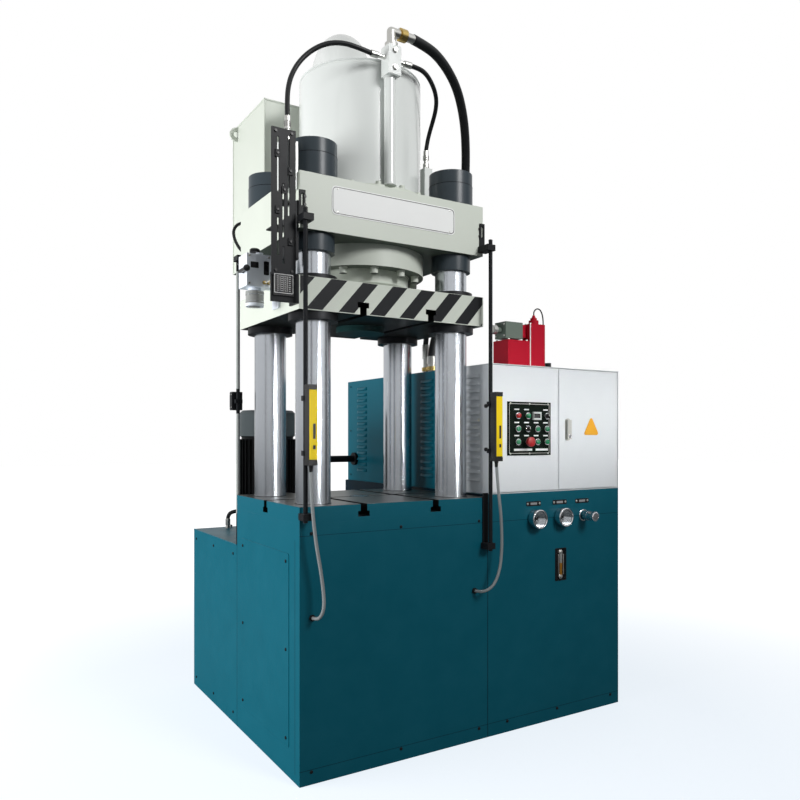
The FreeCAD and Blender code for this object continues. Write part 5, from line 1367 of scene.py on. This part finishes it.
def make_sight_details():
    """Dark recess, glass tube with oil in it, and the two end bolts of the sight gauge."""
    x_low, x_high, z_low, z_high = 0.7925, 0.8495, 0.6035, 0.7365
    x = (x_low + x_high) / 2
    wall = BOX["cabinet_base"][0][1]
    bm = bmesh.new()
    frame_border(bm, (x, wall, (z_low + z_high) / 2), *FRONT, 0.065, 0.141, 0.0025, 0.0045, 0.003, 0)
    block(bm, (x_low + 0.001, -0.3185, z_low + 0.001), (x_high - 0.001, -0.3155, z_high - 0.001), 0)
    for z in (z_low + 0.014, z_high - 0.014):
        lathe(bm, (x, -0.318, z), (0, -1, 0), [(0, 0.0115), (0.006, 0.0115), (0.0075, 0.009)], 1, 24)
        hex_head(bm, (x, -0.325, z), (0, -1, 0), 0.011, 0.004, 1, washer=False)
    for side in (-1, 1):
        block(bm, (x + side * 0.0135 - 0.002, -0.3265, z_low + 0.022),
              (x + side * 0.0135 + 0.002, -0.3185, z_high - 0.022), 1)
    bar(bm, (x, -0.3215, z_low + 0.020), (x, -0.3215, z_high - 0.020), 0.0072, 2, 24)
    settle(bm, "sight_window", "frame", ["knob_black", "plated_zinc", "sight_oil"], edge=0.0005)


def make_base_details():
    """Panel screws, lifting plugs and side hatch of the base and the rear tank."""
    low, high = BOX["base_frame"]
    bm = bmesh.new()
    for x in (low[0] + 0.045, 0.0, high[0] - 0.045, 0.52, 0.80, 1.13):
        for z in (0.045, 0.885) if x < 0.4 else (0.045,):
            lathe(bm, (x, low[1], z), (0, -1, 0), [(0, 0.0062), (0.0022, 0.0058), (0.0034, 0.0036)], 0, 20)
    hatch = (low[0], 0.020, 0.455)
    plate(bm, hatch, *LEFT, 0.500, 0.700, 0.0018, 0.010, 1)
    for y in (-0.205, 0.245):
        for z in (0.135, 0.455, 0.775):
            lathe(bm, (low[0] - 0.0018, y, z), (-1, 0, 0),
                  [(0, 0.0062), (0.0022, 0.0058), (0.0034, 0.0036)], 0, 20)
    tank_low, tank_high = BOX["rear_tank"]
    for y in (0.37, 0.64, 0.91):
        for z in (0.045, 0.725):
            lathe(bm, (tank_low[0], y, z), (-1, 0, 0), [(0, 0.0062), (0.0022, 0.0058), (0.0034, 0.0036)],
                  0, 20)
    bar(bm, (tank_low[0], tank_low[1] + 0.003, tank_high[2] - 0.001),
        (tank_low[0], tank_high[1] - 0.003, tank_high[2] - 0.001), 0.0028, 1, 10)
    plate(bm, (0.0, tank_high[1], 0.42), *REAR, 0.46, 0.36, 0.004, 0.016, 1)
    for step in range(10):
        angle = 2 * math.pi * step / 10
        spot = (0.205 * math.cos(angle), tank_high[1] + 0.004, 0.42 + 0.155 * math.sin(angle))
        hex_head(bm, spot, (0, 1, 0), 0.013, 0.008, 2)
    hex_head(bm, (-0.30, tank_high[1], 0.10), (0, 1, 0), 0.034, 0.018, 2)
    settle(bm, "base_trim", "frame", ["black_enamel", "teal_enamel", "plated_zinc"])


def make_table_details():
    """Two pads and bolt plugs let into the table beside its slots."""
    top = BOX["work_table"][1][2]
    bm = bmesh.new()
    for x in (-0.3125, 0.3125):
        for y in (-0.2095, 0.2095):
            hoop(bm, (x, y, top + 0.0004), (0, 0, 1), 0.0672, 0.0014, 0, 48, 6)
    hoop(bm, (0, 0, top), (0, 0, 1), 0.0408, 0.0009, 0, 48, 6)
    for x in (-0.24, 0.24):
        for y in (-0.10, 0.10):
            lathe(bm, (x, y, top), (0, 0, 1), [(0, 0.0110), (0.0003, 0.0106)], 1, 24)
    settle(bm, "table_trim", "frame", ["black_enamel", "plated_zinc"])


class PRESS_OT_tank_front(bpy.types.Operator):
    """Fit the gauges, knob grips, sight window, base screws and table trim"""
    bl_idname = "press.tank_front"
    bl_label = "Gauges and base trim"

    def execute(self, context):
        make_gauge_details()
        make_needle_hubs()
        make_knob_details()
        make_sight_details()
        make_base_details()
        make_table_details()
        return {"FINISHED"}


# ------------------------------------------------- light curtains and switches

def make_curtain_details():
    """End caps, dark lens strips, foot sockets, clamp screws and top hooks."""
    high = BOX["light_curtains"][1]
    bm = bmesh.new()
    for middle, inward in ((-0.400, 1), (0.416, -1)):
        for z, up in ((high[2], 1), (1.130, -1)):
            block(bm, (middle - 0.0172, -0.3990, min(z - 0.014 * up, z + 0.002 * up)),
                  (middle + 0.0172, -0.3610, max(z - 0.014 * up, z + 0.002 * up)), 0)
        face = middle + inward * 0.0161
        block(bm, (min(face, face + 0.0006 * inward), -0.390, 1.150),
              (max(face, face + 0.0006 * inward), -0.370, 1.386), 0)
        block(bm, (middle - 0.0166, -0.3985, 1.1445), (middle - 0.0150, -0.3615, 1.389), 0)
        plate(bm, (middle + 0.004, -0.398, 1.245), *FRONT, 0.010, 0.052, 0.0005, 0.001, 0)
        plate(bm, (middle + 0.004, -0.398, 1.190), *FRONT, 0.010, 0.014, 0.0005, 0.001, 0)
        lathe(bm, (middle, -0.379, 1.130), (0, 0, -1),
              [(0, 0.0090), (0.006, 0.0088), (0.010, 0.0070), (0.020, 0.0066), (0.026, 0.0062)], 0, 24)
    settle(bm, "curtain_caps", "frame", ["knob_black"], edge=0.0008)
    bm = bmesh.new()
    for side in (-1, 1):
        x = 0.408 * side
        for z in (1.175, 1.350):
            lathe(bm, (x - 0.013 * side, -0.352, z), (-side, 0, 0),
                  [(0, 0.0035), (0.006, 0.0035), (0.006, 0.0080), (0.014, 0.0080), (0.015, 0.0066)], 0, 20)
        lathe(bm, (x, -0.352, 2.018), (0, 0, 1), [(0, 0.0084), (0.003, 0.0080), (0.005, 0.005)], 0, 20)
        for z in (2.046, 2.074):
            hex_head(bm, (x - 0.018 * side, -0.3045, z), (0, -1, 0), 0.010, 0.006, 0)
    settle(bm, "curtain_screws", "frame", ["knob_black", "plated_zinc"])


def make_cam_details():
    """White-framed scale plate with ruled lines, cam clips, and bracket bolts on the cam plate."""
    bm = bmesh.new()
    centre = (-0.470, -0.308, 1.757)
    block(bm, (-0.508, -0.3082, 1.716), (-0.432, -0.3066, 1.790), 0)
    frame_border(bm, (centre[0], -0.3082, centre[2]), *FRONT, 0.070, 0.066, 0.0004, 0.0016, 0.002, 1)
    for column in (-0.014, 0.0, 0.014):
        plate(bm, (centre[0] + column, -0.3082, centre[2]), *FRONT, 0.0009, 0.054, 0.0003, 0.0003, 1)
    for row in range(8):
        z = centre[2] - 0.0245 + 0.007 * row
        for column in (-0.022, -0.007, 0.007, 0.022):
            plate(bm, (centre[0] + column, -0.3082, z), *FRONT, 0.007, 0.0012, 0.0003, 0.0004, 1)
    for x, z in ((-0.494, 2.205), (-0.494, 2.010), (-0.470, 2.082), (-0.446, 2.150), (-0.446, 1.905)):
        block(bm, (x - 0.0085, -0.3125, z - 0.013), (x + 0.0085, -0.3075, z + 0.013), 2)
        hex_head(bm, (x, -0.3125, z), (0, -1, 0), 0.009, 0.004, 0, washer=False)
    for x in (-0.500, -0.440):
        hex_head(bm, (x, -0.3080, 2.283), (0, -1, 0), 0.010, 0.004, 0)
        hex_head(bm, (x, -0.3080, 1.802), (0, -1, 0), 0.010, 0.004, 0)
    for z in (1.7105, 1.765):
        hex_head(bm, (-0.4185, -0.270, z), (-1, 0, 0), 0.013, 0.006, 3)
    settle(bm, "cam_trim", "press_slide", ["knob_black", "label_white", "black_enamel", "plated_zinc"],
           edge=0.0004)


def make_switch_details():
    """Lids and screws on the stroke switches, and the clips of the rear rod."""
    bm = bmesh.new()
    for z in (0.800, 1.960):
        hex_head(bm, (-0.407, 0.329, z), (0, -1, 0), 0.009, 0.005, 1)
    plate(bm, (-0.429, 0.3625, 1.379), *LEFT, 0.028, 0.066, 0.002, 0.003, 0)
    for dy in (-0.009, 0.009):
        for dz in (-0.027, 0.027):
            lathe(bm, (-0.431, 0.3625 + dy, 1.379 + dz), (-1, 0, 0), [(0, 0.0028), (0.0012, 0.0022)], 1, 12)
    settle(bm, "switch_trim", "frame", ["black_enamel", "plated_zinc"])


class PRESS_OT_curtains(bpy.types.Operator):
    """Fit the light-curtain caps and screws, the cam clips and the switch trim"""
    bl_idname = "press.curtains"
    bl_label = "Light curtains and switches"

    def execute(self, context):
        make_curtain_details()
        make_cam_details()
        make_switch_details()
        return {"FINISHED"}


# ----------------------------------------------------- lubricator, motor, valves

def make_lubricator_details():
    """Glass bowl rim, oil window, brass outlets, feed tubes and cap of the lubricator."""
    bm = bmesh.new()
    centre = (-0.498, -0.102)
    lathe(bm, (*centre, 1.703), (0, 0, 1),
          [(0, 0.016), (0.004, 0.026), (0.010, 0.0322), (0.016, 0.0338), (0.020, 0.0338),
           (0.022, 0.0332), (0.046, 0.0332), (0.048, 0.0342), (0.056, 0.0342), (0.058, 0.033)], 0, 40)
    for z in (1.7225, 1.7475):
        hoop(bm, (*centre, z), (0, 0, 1), 0.0334, 0.0012, 1, 40, 6)
    lathe(bm, (*centre, 1.905), (0, 0, 1), [(0, 0.019), (0.010, 0.019), (0.014, 0.015), (0.015, 0.006)],
          2, 32)
    plate(bm, (-0.470, -0.145, 1.842), *FRONT, 0.020, 0.050, 0.0015, 0.004, 2)
    plate(bm, (-0.470, -0.1465, 1.842), *FRONT, 0.012, 0.040, 0.0006, 0.003, 3)
    plate(bm, (-0.515, -0.145, 1.850), *FRONT, 0.030, 0.022, 0.0010, 0.002, 2)
    for x in (-0.535, -0.460):
        for z in (1.782, 1.882):
            socket_head(bm, (x, -0.145, z), (0, -1, 0), 0.0042, 0.003, 4, 2)
    hex_head(bm, (-0.478, -0.145, 1.789), (0, -1, 0), 0.011, 0.008, 5)
    hex_head(bm, (-0.462, -0.145, 1.789), (0, -1, 0), 0.011, 0.008, 5)
    settle(bm, "lubricator_trim", "press_slide",
           ["sight_oil", "bright_chrome", "knob_black", "clear_glass", "plated_zinc", "brass"])
    bm = bmesh.new()
    bent_pipe(bm, [(-0.478, -0.153, 1.789), (-0.478, -0.178, 1.786), (-0.470, -0.200, 1.795),
                   (-0.448, -0.212, 1.822), (-0.420, -0.214, 1.832), (-0.398, -0.214, 1.822),
                   (-0.392, -0.213, 1.808)], 0.0022, 0, 10)
    bent_pipe(bm, [(-0.462, -0.153, 1.789), (-0.462, -0.166, 1.786), (-0.450, -0.160, 1.794),
                   (-0.425, -0.110, 1.806), (-0.405, 0.00, 1.803), (-0.398, 0.120, 1.803),
                   (-0.390, 0.190, 1.806), (-0.388, 0.2095, 1.812)], 0.0022, 0, 10)
    settle(bm, "feed_tubes", "press_slide", ["tube_white"])


def make_motor_details():
    """Cooling fins, cowl grille, lifting eye and flange bolts of the motor."""
    x, y = -0.159, 0.628
    bm = bmesh.new()
    count = detail().fin_count
    for turn in range(count):
        angle = 2 * math.pi * turn / count
        if math.sin(angle) > 0.80:
            continue
        out = Vector((math.cos(angle), math.sin(angle), 0))
        side = Vector((-math.sin(angle), math.cos(angle), 0)) * 0.0016
        inner = Vector((x, y, 0)) + out * 0.124
        outer = Vector((x, y, 0)) + out * 0.1345
        z_low, z_high = 0.925, 1.215
        corners = [inner - side, outer - side * 0.6, outer + side * 0.6, inner + side]
        low_ring = [bm.verts.new(c + Vector((0, 0, z_low))) for c in corners]
        top_ring = [bm.verts.new(c + Vector((0, 0, z_high))) for c in corners]
        for step in range(4):
            after = (step + 1) % 4
            bm.faces.new((low_ring[step], low_ring[after], top_ring[after], top_ring[step]))
        bm.faces.new(low_ring[::-1])
        bm.faces.new(top_ring)
    for turn in range(10):
        angle = math.radians(36 * turn)
        out = Vector((math.cos(angle), math.sin(angle), 0))
        bar(bm, Vector((x, y, 1.3505)) + out * 0.020, Vector((x, y, 1.3505)) + out * 0.0585, 0.0016, 0, 8)
    for radius in (0.022, 0.036, 0.050):
        hoop(bm, (x, y, 1.3508), (0, 0, 1), radius, 0.0015, 0, 40, 6)
    for turn in range(8):
        angle = math.radians(22.5 + 45 * turn)
        hex_head(bm, (x + 0.118 * math.cos(angle), y + 0.118 * math.sin(angle), 0.8975), (0, 0, -1),
                 0.013, 0.008, 1)
    hoop(bm, (x, y - 0.1335, 1.165), (1, 0, 0), 0.014, 0.0038, 1, 32, 10)
    settle(bm, "motor_trim", "frame", ["motor_enamel", "plated_zinc"], smooth=30)
    bm = bmesh.new()
    top = BOX["rear_tank"][1][2]
    hex_head(bm, (-0.264, 0.893, top), (0, 0, 1), 0.020, 0.016, 1)
    lathe(bm, (-0.264, 0.893, top + 0.016), (0, 0, 1), [(0, 0.012), (0.030, 0.012), (0.034, 0.009)], 1, 24)
    hex_head(bm, (-0.236, 0.930, top), (0, 0, 1), 0.014, 0.012, 1)
    bent_pipe(bm, [(-0.264, 0.893, top + 0.026), (-0.264, 0.892, top + 0.052), (-0.256, 0.888, top + 0.072),
                   (-0.238, 0.880, top + 0.082), (-0.214, 0.870, top + 0.084), (-0.180, 0.856, top + 0.080),
                   (-0.156, 0.846, top + 0.062), (-0.148, 0.842, top + 0.030), (-0.148, 0.842, top - 0.002)],
              0.0095, 0, 16)
    settle(bm, "tank_fittings", "frame", ["hose_rubber", "plated_zinc"])


def make_valve_details():
    """Cap screws, coil nut, loop of wire, and a white strip painted as a highlight on a corner of the valves
    on the cabinet.
    """
    bm = bmesh.new()
    for x in (0.927, 0.998):
        for y in (-0.010, 0.021):
            socket_head(bm, (x, y, 1.768), (0, 0, 1), 0.0052, 0.005, 1, 2)
    for x in (0.792, 0.902):
        for y in (-0.010, 0.076):
            socket_head(bm, (x, y, 1.684), (0, 0, 1), 0.0062, 0.006, 1, 2)
    for z in (1.705, 1.759):
        for y in (0.006, 0.066):
            socket_head(bm, (0.7795, y, z), (-1, 0, 0), 0.0045, 0.004, 1, 2)
    # Painted highlight: a white strip along a front corner of a red valve.
    block(bm, (0.9135, -0.0232, 1.530), (0.9190, -0.0216, 1.766), 3)
    lathe(bm, (0.9625, 0.006, 1.797), (0, 0, 1), [(0, 0.010), (0.008, 0.010), (0.010, 0.0075),
                                                  (0.016, 0.0070), (0.018, 0.004)], 0, 24)
    bent_pipe(bm, [(0.9625, 0.006, 1.812), (0.966, 0.006, 1.834), (0.985, 0.006, 1.848),
                   (1.008, 0.006, 1.840), (1.022, 0.006, 1.806), (1.024, 0.006, 1.750),
                   (1.020, 0.006, 1.690), (1.016, 0.006, 1.630), (1.020, 0.008, 1.563)], 0.0032, 2, 10)
    settle(bm, "valve_trim", "frame", ["red_enamel", "plated_zinc", "knob_black", "label_white"],
           edge=0.0004)


def make_fitting_details():
    """Crimp rings on the hose ferrules and hexagon flats on the riser block plugs."""
    bm = bmesh.new()
    for x, y, z, radius in ((0.463, 0.148, 1.585, 0.0215), (-0.437, -0.262, 2.335, 0.0125),
                            (0.330, 0.0, 2.450, 0.0125), (0.463, 0.200, 1.640, 0.0165)):
        for step in (-1, 0, 1):
            hoop(bm, (x, y, z + 0.007 * step), (0, 0, 1), radius, 0.0011, 0, 32, 6)
    for z in (2.625, 2.690):
        hex_head(bm, (-0.020, -0.312, z), (0, -1, 0), 0.018, 0.008, 0)
    hoop(bm, (-0.020, -0.273, 2.1885), (0, 0, 1), 0.0235, 0.003, 1, 32, 6)
    hoop(bm, (-0.020, -0.273, 2.5985), (0, 0, 1), 0.0232, 0.003, 1, 32, 6)
    settle(bm, "fitting_trim", "frame", ["fitting_metal", "white_enamel"])


class PRESS_OT_machinery(bpy.types.Operator):
    """Fit the lubricator, motor, valve and fitting trim"""
    bl_idname = "press.machinery"
    bl_label = "Lubricator, motor and valves"

    def execute(self, context):
        make_lubricator_details()
        make_motor_details()
        make_valve_details()
        make_fitting_details()
        return {"FINISHED"}


# ------------------------------------------------------------- camera and stage

def make_camera():
    data = bpy.data.cameras.new("view")
    data.sensor_width = 36.0
    data.lens = 33.10
    data.shift_x = 0.00716
    data.shift_y = 0.04615
    data.clip_end = 60.0
    camera = bpy.data.objects.new("view", data)
    camera.location = (-1.473, -2.686, 1.2254)
    camera.rotation_euler = (math.radians(90.0), 0.0, math.radians(-31.408))
    bpy.context.scene.collection.objects.link(camera)
    bpy.context.scene.camera = camera


def stage_plane(name, centre, facing_to, wide, tall, colour):
    """A flat card or floor of the studio; it isn't part of the press."""
    material, _, shader = start_material(name)
    shader.inputs["Base Color"].default_value = (*colour, 1.0)
    shader.inputs["Roughness"].default_value = 0.9
    shader.inputs["Specular IOR Level"].default_value = 0.1
    data = bpy.data.meshes.new(name)
    corners = [(-wide / 2, -tall / 2, 0), (wide / 2, -tall / 2, 0), (wide / 2, tall / 2, 0),
               (-wide / 2, tall / 2, 0)]
    data.from_pydata(corners, [], [(0, 1, 2, 3)])
    data.materials.append(material)
    card = bpy.data.objects.new(name, data)
    card.location = centre
    aim = Vector(facing_to) - Vector(centre)
    card.rotation_euler = aim.to_track_quat("Z", "Y").to_euler()
    bpy.context.scene.collection.objects.link(card)
    return card


def soft_light(name, centre, aim, wide, tall, power):
    data = bpy.data.lights.new(name, "AREA")
    data.shape = "RECTANGLE"
    data.size = wide
    data.size_y = tall
    data.energy = power
    lamp = bpy.data.objects.new(name, data)
    lamp.location = centre
    heading = Vector(centre) - Vector(aim)
    lamp.rotation_euler = heading.to_track_quat("Z", "Y").to_euler()
    bpy.context.scene.collection.objects.link(lamp)
    return lamp


def make_world():
    """Near-white studio; it is dimmer for the light it gives than for what is seen of it."""
    world = bpy.data.worlds.new("studio")
    bpy.context.scene.world = world
    world.use_nodes = True
    tree = world.node_tree
    back = tree.nodes["Background"]
    back.inputs["Color"].default_value = (1.0, 1.0, 1.0, 1.0)
    path = add(tree, "ShaderNodeLightPath")
    seen = remap(tree, path.outputs["Is Camera Ray"], 0.0, 1.0, AMBIENT, 1.0)
    shine = maths(tree, "MULTIPLY", path.outputs["Is Glossy Ray"], MIRRORED - AMBIENT)
    link(tree, maths(tree, "ADD", seen, shine), back.inputs["Strength"])
    bpy.context.scene.view_settings.view_transform = "Standard"


def make_floor():
    """Pale floor that shows near white and sends little light back up."""
    floor = stage_plane("floor", (0.0, 0.0, 0.0), (0.0, 0.0, 1.0), 60.0, 60.0, FLOOR_COLOUR)
    tree = floor.data.materials[0].node_tree
    shader = tree.nodes["Principled BSDF"]
    path = add(tree, "ShaderNodeLightPath")
    tone = blend_colour(tree, path.outputs["Is Camera Ray"], FLOOR_BOUNCE, (0.30, 0.32, 0.34))
    link(tree, tone, shader.inputs["Base Color"])
    across, along, _ = position(tree)
    reach = maths(tree, "ADD", maths(tree, "MULTIPLY", across, across), maths(tree, "MULTIPLY", along, along))
    seen = blend_colour(tree, remap(tree, reach, 2.5, 14.0, 0.0, 1.0), FLOOR_COLOUR, (1.3, 1.3, 1.3))
    link(tree, blend_colour(tree, path.outputs["Is Camera Ray"], (0.0, 0.0, 0.0), seen),
         shader.inputs["Emission Color"])
    shader.inputs["Emission Strength"].default_value = 0.80


def make_cards():
    """Dark cards beside the press, out of view, that put the streaks into the chrome."""
    for name, centre, aim, wide, tall in (
            ("card_right", (3.4, -1.7, 1.4), (0.3, -0.2, 1.4), 1.1, 5.0),
            ("card_back", (2.6, 4.2, 1.4), (0.2, 0.0, 1.4), 0.7, 5.0),
            ("card_left", (-4.4, -2.6, 1.4), (-0.3, -0.2, 1.4), 0.35, 5.0),
            ("card_front", (-0.2, -4.6, 1.4), (-0.2, -0.2, 1.4), 0.5, 5.0)):
        card = stage_plane(name, centre, aim, wide, tall, (0.02, 0.022, 0.025))
        card.visible_camera = False
        card.visible_diffuse = False
        card.visible_shadow = False


AMBIENT = 0.26
MIRRORED = 0.80
FLOOR_COLOUR = (0.88, 0.94, 1.0)
FLOOR_BOUNCE = (0.22, 0.24, 0.25)


def make_stage():
    make_world()
    make_floor()
    make_cards()
    key = soft_light("key_left", (-4.6, 0.9, 1.25), (0.0, 0.2, 0.8), 3.6, 2.4, 285.0)
    key.visible_glossy = False
    upper = soft_light("upper_front", (1.4, -4.6, 4.2), (0.30, -0.2, 2.15), 1.6, 1.6, 33.0)
    upper.data.spread = math.radians(76.0)
    middle = soft_light("middle_front", (1.7, -4.4, 1.42), (0.55, -0.32, 1.31), 2.4, 0.22, 1.5)
    middle.data.spread = math.radians(12.0)
    make_camera()


class PRESS_OT_stage(bpy.types.Operator):
    """Set the pale floor, the soft lights and the camera"""
    bl_idname = "press.stage"
    bl_label = "Studio and camera"

    def execute(self, context):
        make_stage()
        return {"FINISHED"}


# ----------------------------------------------------------------- panel and run

OPERATORS = (PRESS_OT_finishes, PRESS_OT_hoses, PRESS_OT_crown, PRESS_OT_cabinet, PRESS_OT_panel,
             PRESS_OT_tank_front, PRESS_OT_curtains, PRESS_OT_machinery, PRESS_OT_stage)


class PRESS_PT_sidebar(bpy.types.Panel):
    """Sizes and colours of the press, with a button for each group of pieces."""
    bl_idname = "PRESS_PT_sidebar"
    bl_label = "Hydraulic press"
    bl_space_type = "VIEW_3D"
    bl_region_type = "UI"
    bl_category = "Press"

    def draw(self, context):
        for group in (finish(), detail()):
            column = self.layout.column(align=True)
            for name in group.__annotations__:
                column.prop(group, name)
        for operator in OPERATORS:
            self.layout.operator(operator.bl_idname)


CLASSES = (PressFinish, PressDetail, *OPERATORS, PRESS_PT_sidebar)


def register():
    for item in CLASSES:
        bpy.utils.register_class(item)
    bpy.types.Scene.press_finish = PointerProperty(type=PressFinish)
    bpy.types.Scene.press_detail = PointerProperty(type=PressDetail)


def unregister():
    del bpy.types.Scene.press_detail
    del bpy.types.Scene.press_finish
    for item in reversed(CLASSES):
        bpy.utils.unregister_class(item)


def main():
    register()
    for operator in OPERATORS:
        group, name = operator.bl_idname.split(".")
        getattr(getattr(bpy.ops, group), name)()


if __name__ == "__main__":
    main()
